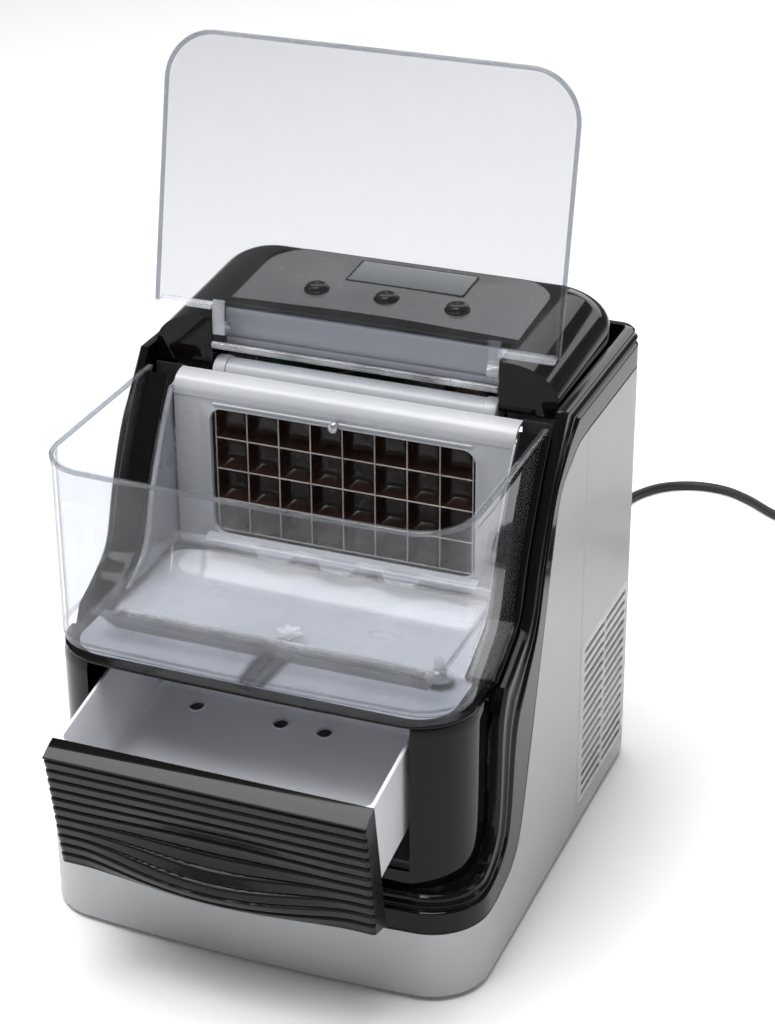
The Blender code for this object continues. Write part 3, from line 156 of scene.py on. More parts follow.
def ease(value: Array, low: float, high: float) -> Array:
    """A smooth step from 0 at low to 1 at high: 3 t squared less 2 t cubed."""
    t = np.clip((np.asarray(value, float) - low) / (high - low), 0, 1)
    return t * t * (3 - 2 * t)


def bump_at(value: Array, centre: float, width: float) -> Array:
    """A bell of height 1 at centre that falls to a third at one width from it."""
    return np.exp(-(((np.asarray(value, float) - centre) / width) ** 2))


def corner_loop(x0: float, z0: float, x1: float, z1: float, radius: float, side: int = 12,
                corner: int = 8) -> Array:
    """A closed rectangle with round corners, with the same count of points whatever its radius.

    Args:
        x0: Left edge.
        z0: Lower edge.
        x1: Right edge.
        z1: Upper edge.
        radius: Radius of the corners.
        side: Points on each straight side.
        corner: Points on each corner.

    Returns:
        The outline as rows of two numbers, anticlockwise from the lower right corner's start.
    """
    runs = []
    spots = ((x1 - radius, z0 + radius, -90), (x1 - radius, z1 - radius, 0),
             (x0 + radius, z1 - radius, 90), (x0 + radius, z0 + radius, 180))
    for k, (cx, cz, start) in enumerate(spots):
        angle = np.radians(start + 90 * np.linspace(0, 1, corner))
        arc = np.stack([cx + radius * np.cos(angle), cz + radius * np.sin(angle)], axis=1)
        nx, nz, nstart = spots[(k + 1) % 4]
        first = np.radians(nstart)
        ahead = np.array([nx + radius * np.cos(first), nz + radius * np.sin(first)])
        share = (np.arange(1, side) / side)[:, None]
        runs += [arc, arc[-1] * (1 - share) + ahead * share]
    return np.vstack(runs)


@dataclass
class Shape:
    """Points and faces of one surface.

    Attributes:
        points: One point per row.
        quads: Four point numbers per row.
        caps: Faces with any number of corners.
        pattern: Two numbers per point for finishes that follow the surface.
    """

    points: Array
    quads: Array
    caps: list = field(default_factory=list)
    pattern: Optional[Array] = None

    def __add__(self, other: "Shape") -> "Shape":
        """Both surfaces as one shape."""
        shift = len(self.points)
        pattern = None
        if self.pattern is not None and other.pattern is not None:
            pattern = np.vstack([self.pattern, other.pattern])
        caps = self.caps + [[i + shift for i in face] for face in other.caps]
        return Shape(np.vstack([self.points, other.points]), np.vstack([self.quads, other.quads + shift]),
                     caps, pattern)

    def mirrored(self) -> "Shape":
        """The shape on the other side of the middle, with its faces turned back to face out."""
        return Shape(self.points * [-1, 1, 1], self.quads[:, ::-1], [face[::-1] for face in self.caps],
                     self.pattern)


def skin(grid: Array, wrap: bool = False, capped: bool = False, pattern: Optional[Array] = None) -> Shape:
    """A surface from a grid of points: each field of the grid becomes one face.

    Args:
        grid: Points in rows and columns, three numbers each.
        wrap: Whether the last column joins the first.
        capped: Whether the first and last rows are filled with a face.
        pattern: Two numbers for each grid point, carried to the shape.

    Returns:
        The surface as a shape.
    """
    rows, columns = grid.shape[:2]
    number = np.arange(rows * columns).reshape(rows, columns)
    if wrap:
        number = np.hstack([number, number[:, :1]])
    quads = np.stack([number[:-1, :-1], number[:-1, 1:], number[1:, 1:], number[1:, :-1]], axis=-1)
    caps = [list(range(columns))[::-1], list(range((rows - 1) * columns, rows * columns))] if capped else []
    flat = None if pattern is None else pattern.reshape(-1, 2)
    return Shape(grid.reshape(-1, 3), quads.reshape(-1, 4), caps, flat)


def shell(outer: Array, inner: Array, wrap: bool = False, pattern: Optional[Array] = None) -> Shape:
    """A closed wall between two grids: both skins and the strips that join their edges.

    Args:
        outer: Grid of the outside.
        inner: Grid of the inside, as many rows and columns.
        wrap: Whether the last column joins the first, so that only the first and last rows are edges.
        pattern: Two numbers for each grid point, used for both skins.

    Returns:
        The wall as a closed shape.
    """
    rows, columns = outer.shape[:2]
    number = np.arange(rows * columns).reshape(rows, columns)
    if wrap:
        edge = [np.r_[number[0], number[0, 0]], np.r_[number[-1], number[-1, 0]][::-1]]
    else:
        edge = [np.r_[number[0], number[1:, -1], number[-1, -2::-1], number[-2::-1, 0]]]
    back = rows * columns
    made = skin(outer, wrap, pattern=pattern) + Shape(
        inner.reshape(-1, 3), skin(inner, wrap).quads[:, ::-1], [],
        None if pattern is None else pattern.reshape(-1, 2))
    strips = [np.stack([run[1:], run[:-1], run[:-1] + back, run[1:] + back], axis=1) for run in edge]
    return Shape(made.points, np.vstack([made.quads, *strips]), [], made.pattern)


def normals(grid: Array) -> Array:
    """Unit normals of a grid: the cross product of its two differences, made one long."""
    down = np.gradient(grid, axis=0)
    across = np.gradient(grid, axis=1)
    cross = np.cross(down, across)
    return cross / np.maximum(np.linalg.norm(cross, axis=-1, keepdims=True), 1e-12)


def thick(grid: Array, wall: float) -> Shape:
    """A closed wall of one thickness: the grid and the grid moved along its normals."""
    return shell(grid, grid - wall * normals(grid))


def turned(profile: Sequence, centre: Sequence, axis: str, steps: int = 48) -> Shape:
    """A profile of (radius, height) turned once round an axis: x = r cos a, y = r sin a, z = h.

    Args:
        profile: Pairs of radius and height.
        centre: The point that the heights count from.
        axis: "X", "Y" or "Z".
        steps: Fields round the axis.

    Returns:
        The closed turned shape.
    """
    pairs = np.asarray(profile, float)
    angle = np.linspace(0, 2 * np.pi, steps, endpoint=False)
    radius = np.maximum(pairs[:, :1], 1e-6)
    a, b = radius * np.cos(angle), radius * np.sin(angle)
    h = np.broadcast_to(pairs[:, 1:], a.shape)
    order = {"X": (h, a, b), "Y": (b, h, a), "Z": (a, b, h)}[axis]
    return skin(np.stack(order, axis=-1) + np.asarray(centre, float), wrap=True, capped=True)


def extruded(loop: Array, low: float, high: float, steps: int = 2,
             bend: Optional[Callable[[Array], Array]] = None) -> Shape:
    """A closed outline in Y and Z carried along X, with an optional rise that depends on X.

    Args:
        loop: The outline, rows of y and z.
        low: Where it starts.
        high: Where it ends.
        steps: How many stations it has.
        bend: Gives the added height at each x.

    Returns:
        The closed bar.
    """
    x = np.linspace(low, high, steps)[:, None]
    y = np.broadcast_to(loop[:, 0], (steps, len(loop)))
    z = loop[:, 1] + (0 * x if bend is None else bend(x))
    return skin(np.stack([np.broadcast_to(x, y.shape), y, z], axis=-1), wrap=True, capped=True)


def along_contour(contour: Array, section: Array) -> Shape:
    """A section carried along a curve in the Y-Z plane: x from the section, its second number along the
    curve's normal.

    Args:
        contour: Rows of y and z.
        section: Closed outline, rows of x and distance along the normal.

    Returns:
        The closed rail.
    """
    tangent = np.gradient(contour, axis=0)
    tangent /= np.linalg.norm(tangent, axis=1, keepdims=True)
    across = np.stack([tangent[:, 1], -tangent[:, 0]], axis=1)
    yz = contour[:, None, :] + across[:, None, :] * section[None, :, 1:]
    x = np.broadcast_to(section[:, 0], yz.shape[:2])
    return skin(np.stack([x, yz[..., 0], yz[..., 1]], axis=-1), wrap=True, capped=True)


def tube(path: Array, radius: float, sides: int = 16) -> Shape:
    """A round tube along a path: a circle in the two directions square to the path at each point.

    Args:
        path: Rows of x, y and z.
        radius: Radius of the tube.
        sides: Fields round it.

    Returns:
        The closed tube.
    """
    tangent = np.gradient(path, axis=0)
    tangent /= np.linalg.norm(tangent, axis=1, keepdims=True)
    aside = np.cross(tangent, [0.31, 0.2, 0.93])
    aside /= np.linalg.norm(aside, axis=1, keepdims=True)
    over = np.cross(tangent, aside)
    angle = np.linspace(0, 2 * np.pi, sides, endpoint=False)[None, :, None]
    grid = path[:, None] + radius * (np.cos(angle) * aside[:, None] + np.sin(angle) * over[:, None])
    return skin(grid, wrap=True, capped=True)


def about_x(points: Array, centre: Sequence, angle: float) -> Array:
    """Points turned about an axis along X through centre."""
    local = points - np.asarray(centre, float)
    c, s = math.cos(angle), math.sin(angle)
    y, z = local[..., 1] * c - local[..., 2] * s, local[..., 1] * s + local[..., 2] * c
    return np.stack([local[..., 0], y, z], axis=-1) + np.asarray(centre, float)


# ---------------------------------------------------------------- finishes


class Tree:
    """Node tree of one material, with a short call for each kind of node that the finishes use."""

    def __init__(self, name: str) -> None:
        """Starts a material with the usual shader."""
        self.material = bpy.data.materials.new(name)
        self.material.use_nodes = True
        self.nodes = self.material.node_tree.nodes
        self.shader = self.nodes["Principled BSDF"]

    def add(self, kind: str, inputs: dict, **settings: object) -> bpy.types.Node:
        """Adds a node, sets its properties and fills or links its sockets.

        Args:
            kind: Type of the node.
            inputs: Value or socket for each socket, by name or number.
            settings: Properties of the node.

        Returns:
            The node.
        """
        node = self.nodes.new(kind)
        for key, value in settings.items():
            setattr(node, key, value)
        for key, value in inputs.items():
            self.feed(node.inputs[key], value)
        return node

    def feed(self, socket: bpy.types.NodeSocket, value: object) -> None:
        """Links a socket to another one, or sets its own value."""
        if isinstance(value, bpy.types.NodeSocket):
            self.material.node_tree.links.new(value, socket)
        else:
            socket.default_value = value

    def shade(self, **values: object) -> None:
        """Sets or links sockets of the main shader, with _ for a space in their names."""
        for key, value in values.items():
            self.feed(self.shader.inputs[key.replace("_", " ")], value)

    def place(self, stretch: Sequence = (1, 1, 1)) -> bpy.types.NodeSocket:
        """Object coordinates, stretched by a mapping."""
        where = self.add("ShaderNodeTexCoord", {})
        return self.add("ShaderNodeMapping", {"Vector": where.outputs["Object"],
                                              "Scale": tuple(stretch)}).outputs[0]

    def pattern(self) -> bpy.types.NodeSocket:
        """The two numbers that the piece carries for its pattern."""
        return self.add("ShaderNodeAttribute", {}, attribute_name="pattern").outputs["Vector"]

    def noise(self, scale: float, detail: float = 3.0, stretch: Sequence = (1, 1, 1)) -> bpy.types.NodeSocket:
        """Noise from 0 to 1 on Object coordinates."""
        made = self.add("ShaderNodeTexNoise", {"Vector": self.place(stretch), "Scale": scale,
                                               "Detail": detail})
        return made.outputs["Fac"]

    def span(self, value: bpy.types.NodeSocket, low: float, high: float, start: float = 0.3,
             end: float = 0.7) -> bpy.types.NodeSocket:
        """Maps a value from start..end to low..high."""
        made = self.add("ShaderNodeMapRange", {0: value, 1: start, 2: end, 3: low, 4: high})
        return made.outputs[0]

    def ramp(self, value: bpy.types.NodeSocket, stops: Sequence) -> bpy.types.NodeSocket:
        """Colours at given places of a value from 0 to 1.

        Args:
            value: The value that picks the colour.
            stops: Pairs of place and colour.

        Returns:
            The colour.
        """
        node = self.add("ShaderNodeValToRGB", {"Fac": value})
        bar = node.color_ramp.elements
        while len(bar) < len(stops):
            bar.new(0.5)
        for element, (spot, colour) in zip(bar, stops):
            element.position, element.color = spot, (*colour, 1.0)
        return node.outputs["Color"]

    def bump(self, height: bpy.types.NodeSocket, strength: float, distance: float) -> bpy.types.NodeSocket:
        """A normal from a height."""
        made = self.add("ShaderNodeBump", {"Height": height, "Strength": strength, "Distance": distance})
        return made.outputs[0]


@dataclass(frozen=True)
class Finish:
    """What every finish has: a name and a material that is made once."""

    name: str

    def fill(self, tree: Tree) -> None:
        """Builds the nodes."""
        raise NotImplementedError

    def material(self) -> bpy.types.Material:
        """The material, made on first use."""
        name = f"{self.name}_surface"
        found = bpy.data.materials.get(name)
        if found is None:
            tree = Tree(name)
            self.fill(tree)
            found = tree.material
        return found


@dataclass(frozen=True)
class Moulded(Finish):
    """Opaque plastic, rubber or lacquer: a slightly uneven colour over a fine moulded grain.

    Attributes:
        dark: Colour in its darker patches.
        light: Colour in its lighter patches.
        rough: Lowest and highest roughness.
        grain: Size of the grain, as the noise's scale.
        relief: Strength of the grain's bump.
        coat: Weight of the clear coat.
        mirror: Strength of its own mirror, 0.5 for a refractive index of 1.5.
    """

    dark: Colour
    light: Colour
    rough: tuple[float, float]
    grain: float = 900.0
    relief: float = 0.05
    coat: float = 0.0
    mirror: float = 0.4

    def fill(self, tree: Tree) -> None:
        """Patchy colour, patchy roughness and a fine bump."""
        cloud = tree.noise(7.0, 4.0)
        grain = tree.noise(self.grain, 2.0)
        tree.shade(Base_Color=tree.ramp(cloud, [(0.3, self.dark), (0.7, self.light)]),
                   Roughness=tree.span(tree.noise(38.0, 5.0), *self.rough),
                   Normal=tree.bump(grain, self.relief, 0.0004), Coat_Weight=self.coat,
                   Coat_Roughness=0.05, Specular_IOR_Level=self.mirror)


@dataclass(frozen=True)
class Metallic(Finish):
    """Bare, brushed or painted metal.

    Attributes:
        dark: Colour in its darker streaks.
        light: Colour in its lighter streaks.
        rough: Lowest and highest roughness.
        metal: How metallic it is.
        stretch: How the streaks are drawn out.
        scale: Scale of the streaks.
        relief: Strength of the bump.
        coat: Weight of the clear coat.
    """

    dark: Colour
    light: Colour
    rough: tuple[float, float]
    metal: float = 1.0
    stretch: tuple[float, float, float] = (1.0, 1.0, 1.0)
    scale: float = 60.0
    relief: float = 0.06
    coat: float = 0.0

    def fill(self, tree: Tree) -> None:
        """Streaks in the colour, a finer flake in the roughness and the bump."""
        streak = tree.noise(self.scale, 4.0, self.stretch)
        flake = tree.noise(2200.0, 1.0, self.stretch)
        tree.shade(Base_Color=tree.ramp(streak, [(0.25, self.dark), (0.75, self.light)]),
                   Roughness=tree.span(flake, *self.rough), Metallic=self.metal,
                   Normal=tree.bump(flake, self.relief, 0.0002), Coat_Weight=self.coat,
                   Coat_Roughness=0.12)


@dataclass(frozen=True)
class Clear(Finish):
    """Thin clear plastic: it lets light through and darkens where it is seen edge on.

    Its mirror grows with the slant by Schlick's rule, which is the same for both of its faces.

    Attributes:
        through: Tint of what shows through it face on.
        edge: Tint where it is seen edge on.
        gloss: Roughness of its mirror.
        haze: Share of light that its surface scatters, in its cloudiest patches.
    """

    through: Colour
    edge: Colour
    gloss: float = 0.04
    haze: float = 0.05

    def fill(self, tree: Tree) -> None:
        """Clear by the facing angle, a little cloudy, and a glossy layer by Schlick's rule."""
        facing = tree.add("ShaderNodeLayerWeight", {"Blend": 0.35}).outputs["Facing"]
        tint = tree.ramp(facing, [(0.0, self.through), (0.55, self.through), (1.0, self.edge)])
        clear = tree.add("ShaderNodeBsdfTransparent", {"Color": tint}).outputs[0]
        ripple = tree.bump(tree.noise(24.0, 2.0), 0.06, 0.002)
        cloud = tree.span(tree.noise(30.0, 4.0, (1, 1, 0.25)), 0.2 * self.haze, self.haze)
        tree.shade(Base_Color=tree.ramp(facing, [(0.0, (0.86, 0.87, 0.9)), (1.0, (0.66, 0.67, 0.72))]),
                   Roughness=0.3)
        misty = tree.add("ShaderNodeMixShader", {0: cloud, 1: clear, 2: tree.shader.outputs[0]}).outputs[0]
        mirror = tree.add("ShaderNodeBsdfGlossy", {"Roughness": self.gloss, "Normal": ripple}).outputs[0]
        slant = tree.add("ShaderNodeLayerWeight", {"Blend": 0.5}).outputs["Facing"]
        steep = tree.add("ShaderNodeMath", {0: slant, 1: 5.0}, operation="POWER").outputs[0]
        fresnel = tree.span(steep, 0.022, 0.9, 0.0, 1.0)
        both = tree.add("ShaderNodeMixShader", {0: fresnel, 1: misty, 2: mirror}).outputs[0]
        tree.feed(tree.nodes["Material Output"].inputs["Surface"], both)


@dataclass(frozen=True)
class Ribbed(Finish):
    """Dark moulded ribs: satin on their backs and black with painted shade in the grooves, by the piece's own
    pattern.

    Attributes:
        back: Colour on the ribs.
        groove: Colour of the painted shade in the grooves.
        mirror: Strength of its mirror.
        shade_fade: Where the pattern turns from the painted groove shade to the back.
    """

    back: Colour
    groove: Colour
    mirror: float = 0.5
    shade_fade: tuple[float, float] = (0.02, 0.35)

    def fill(self, tree: Tree) -> None:
        """The second number of the pattern is 0 in a groove and 1 on the back of a rib; the groove colour is
        painted shade.
        """
        split = tree.add("ShaderNodeSeparateXYZ", {0: tree.pattern()}).outputs
        edge = tree.span(split[1], 0.0, 1.0, *self.shade_fade)
        worn = tree.ramp(tree.noise(16.0, 4.0, (0.5, 1, 3)), [(0.3, self.back), (0.75, tuple(
            1.35 * c for c in self.back))])
        # Painted shade: the groove colour darkens the grooves, and the back colour is the ribs' own.
        mixed = tree.add("ShaderNodeMix", {0: edge, 6: (*self.groove, 1.0), 7: worn}, data_type="RGBA")
        tree.shade(Base_Color=mixed.outputs[2], Roughness=tree.span(tree.noise(60.0), 0.16, 0.26),
                   Normal=tree.bump(tree.noise(1300.0, 2.0), 0.03, 0.0003),
                   Specular_IOR_Level=self.mirror)


@dataclass(frozen=True)
class Screen(Finish):
    """Unlit liquid crystal display under glass, with painted shade that leaves it darker at its front edge
    and lighter towards its rear edge.
    """

    low: Colour
    high: Colour

    def fill(self, tree: Tree) -> None:
        """A painted shade gradient across the glass, dark at its front and light at its rear, with a faint
        polariser grain, and a glossy coat.
        """
        split = tree.add("ShaderNodeSeparateXYZ", {0: tree.place()}).outputs
        # Painted shade: the gradient darkens the glass towards its front edge.
        shade_fade = tree.span(split[1], 0.0, 1.0, 0.112, 0.15)
        grain = tree.noise(420.0, 2.0, (1, 0.1, 1))
        both = tree.add("ShaderNodeMath", {0: shade_fade, 1: tree.span(grain, -0.06, 0.06)}, operation="ADD")
        tree.shade(Base_Color=tree.ramp(both.outputs[0], [(0.0, self.low), (1.0, self.high)]),
                   Roughness=0.12, Coat_Weight=0.6, Coat_Roughness=0.03)


@dataclass(frozen=True)
class Board(Finish):
    """Circuit board: green lacquer with paler tracks."""

    lacquer: Colour
    track: Colour

    def fill(self, tree: Tree) -> None:
        """Tracks from a stretched brick pattern under the lacquer."""
        brick = tree.add("ShaderNodeTexBrick", {"Vector": tree.place((1, 1, 1)), "Scale": 90.0,
                                                "Color1": (*self.lacquer, 1), "Color2": (*self.lacquer, 1),
                                                "Mortar": (*self.track, 1), "Mortar Size": 0.04})
        tree.shade(Base_Color=brick.outputs[0], Roughness=tree.span(tree.noise(200.0), 0.3, 0.5))


@dataclass(frozen=True)
class Paper(Finish):
    """Plain pale studio floor, a little uneven."""

    tone: float = 0.9

    def fill(self, tree: Tree) -> None:
        """White with a barely visible cloud."""
        t = self.tone
        tree.shade(Base_Color=tree.ramp(tree.noise(3.0), [(0.0, (t, t, t)), (1.0, (t * 1.02,) * 3)]),
                   Roughness=0.9)


SILVER = Metallic("silver_paint", (0.37, 0.373, 0.38), (0.43, 0.433, 0.441), (0.34, 0.46), 0.35,
                  scale=5.0, relief=0.05, coat=0.1)
# The vent's grooves take a nearly black colour: painted shade inside the louvre slots.
VENT = Ribbed("vent_silver", (0.36, 0.365, 0.375), (0.02, 0.02, 0.022), 0.4, (0.4, 0.9))
GLOSS = Moulded("gloss_black", (0.0030, 0.0024, 0.0024), (0.0050, 0.0038, 0.0036), (0.04, 0.09),
                grain=260.0, relief=0.006, mirror=0.2)
SATIN = Moulded("satin_dark", (0.018, 0.017, 0.017), (0.028, 0.026, 0.025), (0.3, 0.42), 1400.0)
PANEL = Moulded("panel_dark", (0.085, 0.084, 0.085), (0.11, 0.108, 0.109), (0.2, 0.3), relief=0.01,
                mirror=0.5)
# The drawer's grooves take a black colour: painted shade in the grooves between the ribs.
RIBBED = Ribbed("ribbed_dark", (0.0095, 0.0085, 0.0085), (0.001, 0.001, 0.001), 0.22)
CLEAR = Clear("clear_plastic", (0.935, 0.94, 0.955), (0.12, 0.135, 0.17), 0.03, 0.05)
TRAY = Clear("clear_tray", (0.95, 0.955, 0.965), (0.5, 0.52, 0.56), 0.03, 0.09)
CLEAR_LID = Clear("clear_lid", (0.835, 0.842, 0.856), (0.20, 0.22, 0.26), 0.03, 0.015)
CLEAR_EDGE = Clear("clear_edge", (0.66, 0.675, 0.70), (0.20, 0.21, 0.24), 0.04, 0.10)
FROSTED = Clear("clear_frosted", (0.93, 0.94, 0.96), (0.52, 0.54, 0.59), 0.06, 0.34)
WHITE = Moulded("white_plastic", (0.36, 0.37, 0.395), (0.42, 0.43, 0.45), (0.25, 0.38), 1100.0, 0.04, 0.15)
TUB = Moulded("drawer_white", (0.73, 0.74, 0.77), (0.79, 0.80, 0.83), (0.3, 0.45), 1100.0, coat=0.1)
PALE = Moulded("pale_plastic", (0.50, 0.51, 0.54), (0.58, 0.59, 0.62), (0.25, 0.38), 1100.0, 0.04)
GREY = Moulded("grey_plastic", (0.24, 0.25, 0.29), (0.31, 0.32, 0.36), (0.35, 0.5), 1100.0, 0.06)
FACE = Moulded("face_grey", (0.46, 0.465, 0.50), (0.54, 0.545, 0.58), (0.16, 0.26), 1100.0, 0.04, 0.3)
# The copper of the cells is painted almost black: painted shade inside the cells.
CELL_SHADE = Moulded("cell_shade", (0.014, 0.0065, 0.0045), (0.030, 0.014, 0.010), (0.16, 0.3), 300.0, mirror=0.3)
RUBBER = Moulded("black_rubber", (0.009, 0.009, 0.010), (0.016, 0.016, 0.017), (0.45, 0.62), 1500.0, 0.12)
STEEL = Metallic("steel", (0.50, 0.50, 0.51), (0.66, 0.66, 0.67), (0.22, 0.36), 1.0, (1, 1, 12), 40.0)
DIVIDER = Metallic("tinned_divider", (0.24, 0.225, 0.215), (0.36, 0.34, 0.325), (0.3, 0.5), 0.5, scale=60.0)
COPPER = Metallic("copper", (0.45, 0.20, 0.11), (0.62, 0.33, 0.2), (0.24, 0.4), scale=30.0)
ALUMINIUM = Metallic("aluminium", (0.62, 0.63, 0.64), (0.76, 0.77, 0.78), (0.3, 0.42), 1.0, (8, 1, 1), 30.0)
ZINC = Metallic("galvanised", (0.42, 0.43, 0.44), (0.60, 0.61, 0.62), (0.34, 0.5), scale=22.0)
LACQUER = Moulded("compressor_black", (0.010, 0.010, 0.011), (0.02, 0.02, 0.021), (0.22, 0.36), 240.0, 0.1)
SCREEN = Screen("display", (0.10, 0.106, 0.110), (0.24, 0.25, 0.25))
BOARD = Board("circuit_board", (0.012, 0.10, 0.04), (0.09, 0.28, 0.13))
PAPER = Paper("studio_floor")


# ---------------------------------------------------------------- placing pieces


def build(name: str, shape: Shape, finish: Finish, body: Body, stands_for: Iterable[str] = (),
          bevel: float = 0.0, sharp: float = 38.0) -> bpy.types.Object:
    """Makes the mesh of a piece, closes its seams, turns it outwards, dresses it and sets it on its body.

    Args:
        name: The piece's name.
        shape: Its surface.
        finish: Its finish.
        body: The body it rides on.
        stands_for: CAD nodes that it takes the place of.
        bevel: Width of a rounding on its sharp edges.
        sharp: Angle in degrees over which an edge stays sharp.

    Returns:
        The object.
    """
    mesh = bpy.data.meshes.new(name)
    mesh.from_pydata(shape.points.tolist(), [], shape.quads.tolist() + shape.caps)
    if shape.pattern is not None:
        kept = mesh.attributes.new("pattern", "FLOAT2", "POINT")
        kept.data.foreach_set("vector", shape.pattern.astype(np.float32).ravel())
    made = bpy.data.objects.new(name, mesh)
    bpy.context.scene.collection.objects.link(made)
    cleaned(mesh)
    return settled(made, finish, body, stands_for, bevel, sharp)


def cleaned(mesh: bpy.types.Mesh, flat: float = 0.0) -> None:
    """Merges doubles, turns the faces outwards and, where flat is given, joins level neighbours.

    Args:
        mesh: The mesh to clean.
        flat: Angle in radians under which neighbouring faces are joined.
    """
    work = bmesh.new()
    work.from_mesh(mesh)
    bmesh.ops.remove_doubles(work, verts=work.verts, dist=1e-6)
    bmesh.ops.dissolve_degenerate(work, edges=work.edges, dist=1e-7)
    if flat:
        bmesh.ops.dissolve_limit(work, angle_limit=flat, verts=work.verts, edges=work.edges)
    bmesh.ops.recalc_face_normals(work, faces=work.faces)
    work.to_mesh(mesh)
    work.free()


def settled(made: bpy.types.Object, finish: Finish, body: Body, stands_for: Iterable[str],
            bevel: float, sharp: float) -> bpy.types.Object:
    """Rounds, shades, dresses and places a finished mesh.

    Args:
        made: The object.
        finish: Its finish.
        body: The body it rides on.
        stands_for: CAD nodes that it takes the place of.
        bevel: Width of a rounding on its sharp edges.
        sharp: Angle in degrees over which an edge stays sharp.

    Returns:
        The same object.
    """
    made.data.materials.clear()
    made.data.materials.append(finish.material())
    made.data.shade_smooth()
    if bevel:
        step = made.modifiers.new("soft_edges", "BEVEL")
        step.width, step.segments, step.limit_method = bevel, 2, "ANGLE"
        step.angle_limit, step.harden_normals = math.radians(sharp), False
    made.data.set_sharp_from_angle(angle=math.radians(sharp + (52 if bevel else 0)))
    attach(made, body.value)
    for node in stands_for:
        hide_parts(node)
    log.info("%s: %d faces on %s", made.name, len(made.data.polygons), body.value)
    return made


def carved(made: bpy.types.Object, tools: Sequence[Shape]) -> bpy.types.Object:
    """Cuts closed shapes out of a piece for good.

    Args:
        made: The piece.
        tools: The shapes to cut out.

    Returns:
        The same object, its mesh holding the result.
    """
    for tool in tools:
        mesh = bpy.data.meshes.new("cutter")
        mesh.from_pydata(tool.points.tolist(), [], tool.quads.tolist() + tool.caps)
        cleaned(mesh)
        cutter = bpy.data.objects.new("cutter", mesh)
        bpy.context.scene.collection.objects.link(cutter)
        step = made.modifiers.new("cut", "BOOLEAN")
        step.operation, step.object, step.solver = "DIFFERENCE", cutter, "EXACT"
        bpy.context.view_layer.update()
        result = bpy.data.meshes.new_from_object(
            made.evaluated_get(bpy.context.evaluated_depsgraph_get()))
        made.modifiers.remove(step)
        made.data = result
        bpy.data.objects.remove(cutter, do_unlink=True)
    return made


def softened(node: str, finish: Finish, body: Body, bevel: float = 0.4 * MM,
             sharp: float = 30.0) -> bpy.types.Object:
    """A copy of a frame part with its seams merged, its round faces smooth and its edges rounded.

    Args:
        node: The CAD node to copy and stand for.
        finish: Its finish.
        body: The body it rides on.
        bevel: Width of the rounding.
        sharp: Angle in degrees over which an edge is rounded.

    Returns:
        The new piece.
    """
    mesh = frame["nodes"][node].data.copy()
    mesh.name = node + "_soft"
    made = bpy.data.objects.new(node + "_soft", mesh)
    bpy.context.scene.collection.objects.link(made)
    cleaned(mesh, math.radians(1.0))
    return settled(made, finish, body, (node,), bevel, sharp)


def dress(finish: Finish, *nodes: str) -> None:
    """Gives frame parts that stay as they are a finish."""
    for node in nodes:
        mesh = frame["nodes"][node].data
        mesh.materials.clear()
        mesh.materials.append(finish.material())


def low_high(node: str) -> tuple[Array, Array]:
    """Lowest and highest corner of a CAD node, as arrays."""
    low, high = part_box(node)
    return np.array(low), np.array(high)


# ---------------------------------------------------------------- camera, light and cord


@dataclass
class Studio:
    """Camera, pale floor and soft light.

    Attributes:
        eye: Where the camera stands.
        aim: What it looks at.
        roll: How far it is turned about its own axis, in degrees.
        lens: Focal length in millimetres.
    """

    eye: tuple[float, float, float] = (0.5641, -1.29208, 0.9713)
    aim: tuple[float, float, float] = (0.04385, -0.00948, 0.26117)
    roll: float = -0.39
    lens: float = 88.546

    def camera(self) -> None:
        """Sets up the camera at the height of somebody standing at the worktop."""
        data = bpy.data.cameras.new("camera")
        data.lens, data.sensor_width = self.lens, 36.0
        data.clip_start, data.clip_end = 0.05, 60.0
        made = bpy.data.objects.new("camera", data)
        bpy.context.scene.collection.objects.link(made)
        turn = (Vector(self.aim) - Vector(self.eye)).to_track_quat("-Z", "Y").to_matrix()
        spin = Matrix.Rotation(math.radians(self.roll), 3, "Z")
        made.matrix_world = Matrix.Translation(self.eye) @ (turn @ spin).to_4x4()
        bpy.context.scene.camera = made

    def floor(self) -> None:
        """A wide pale floor just under the feet."""
        side = np.linspace(-6, 6, 5)
        x, y = np.meshgrid(side, side, indexing="xy")
        shape = skin(np.stack([x, y, np.full_like(x, -0.0002)], axis=-1))
        mesh = bpy.data.meshes.new("floor")
        mesh.from_pydata(shape.points.tolist(), [], shape.quads.tolist())
        mesh.materials.append(PAPER.material())
        made = bpy.data.objects.new("floor", mesh)
        bpy.context.scene.collection.objects.link(made)

    def lamp(self, name: str, place: Sequence, size: tuple[float, float], power: float) -> None:
        """A soft rectangular lamp that faces the machine.

        Args:
            name: Name of the lamp.
            place: Where it hangs.
            size: Its width and height.
            power: Its power in watts.
        """
        data = bpy.data.lights.new(name, "AREA")
        data.shape, data.size, data.size_y, data.energy = "RECTANGLE", *size, power
        made = bpy.data.objects.new(name, data)
        bpy.context.scene.collection.objects.link(made)
        turn = (Vector((0, 0, 0.22)) - Vector(place)).to_track_quat("-Z", "Y").to_matrix().to_4x4()
        made.matrix_world = Matrix.Translation(place) @ turn

    def light(self) -> None:
        """A pale room, a large lamp above, one far behind, one on each side and a low one at the back."""
        world = bpy.data.worlds.new("room")
        world.use_nodes = True
        shader = world.node_tree.nodes["Background"]
        shader.inputs["Color"].default_value = (0.97, 0.98, 1.0, 1.0)
        shader.inputs["Strength"].default_value = 0.25
        bpy.context.scene.world = world
        bpy.context.scene.view_settings.view_transform = "Standard"
        self.lamp("lamp_above", (-0.3, -0.3, 2.2), (1.5, 1.5), 62.0)
        self.lamp("lamp_far", (-0.8, 2.6, 3.2), (3.0, 2.0), 48.0)
        self.lamp("lamp_left", (-1.9, -0.9, 1.0), (0.5, 1.6), 9.0)
        self.lamp("lamp_right", (1.9, 0.3, 1.3), (0.4, 1.4), 3.0)
        self.lamp("lamp_back", (0.4, 2.2, 1.2), (1.6, 0.6), 9.0)


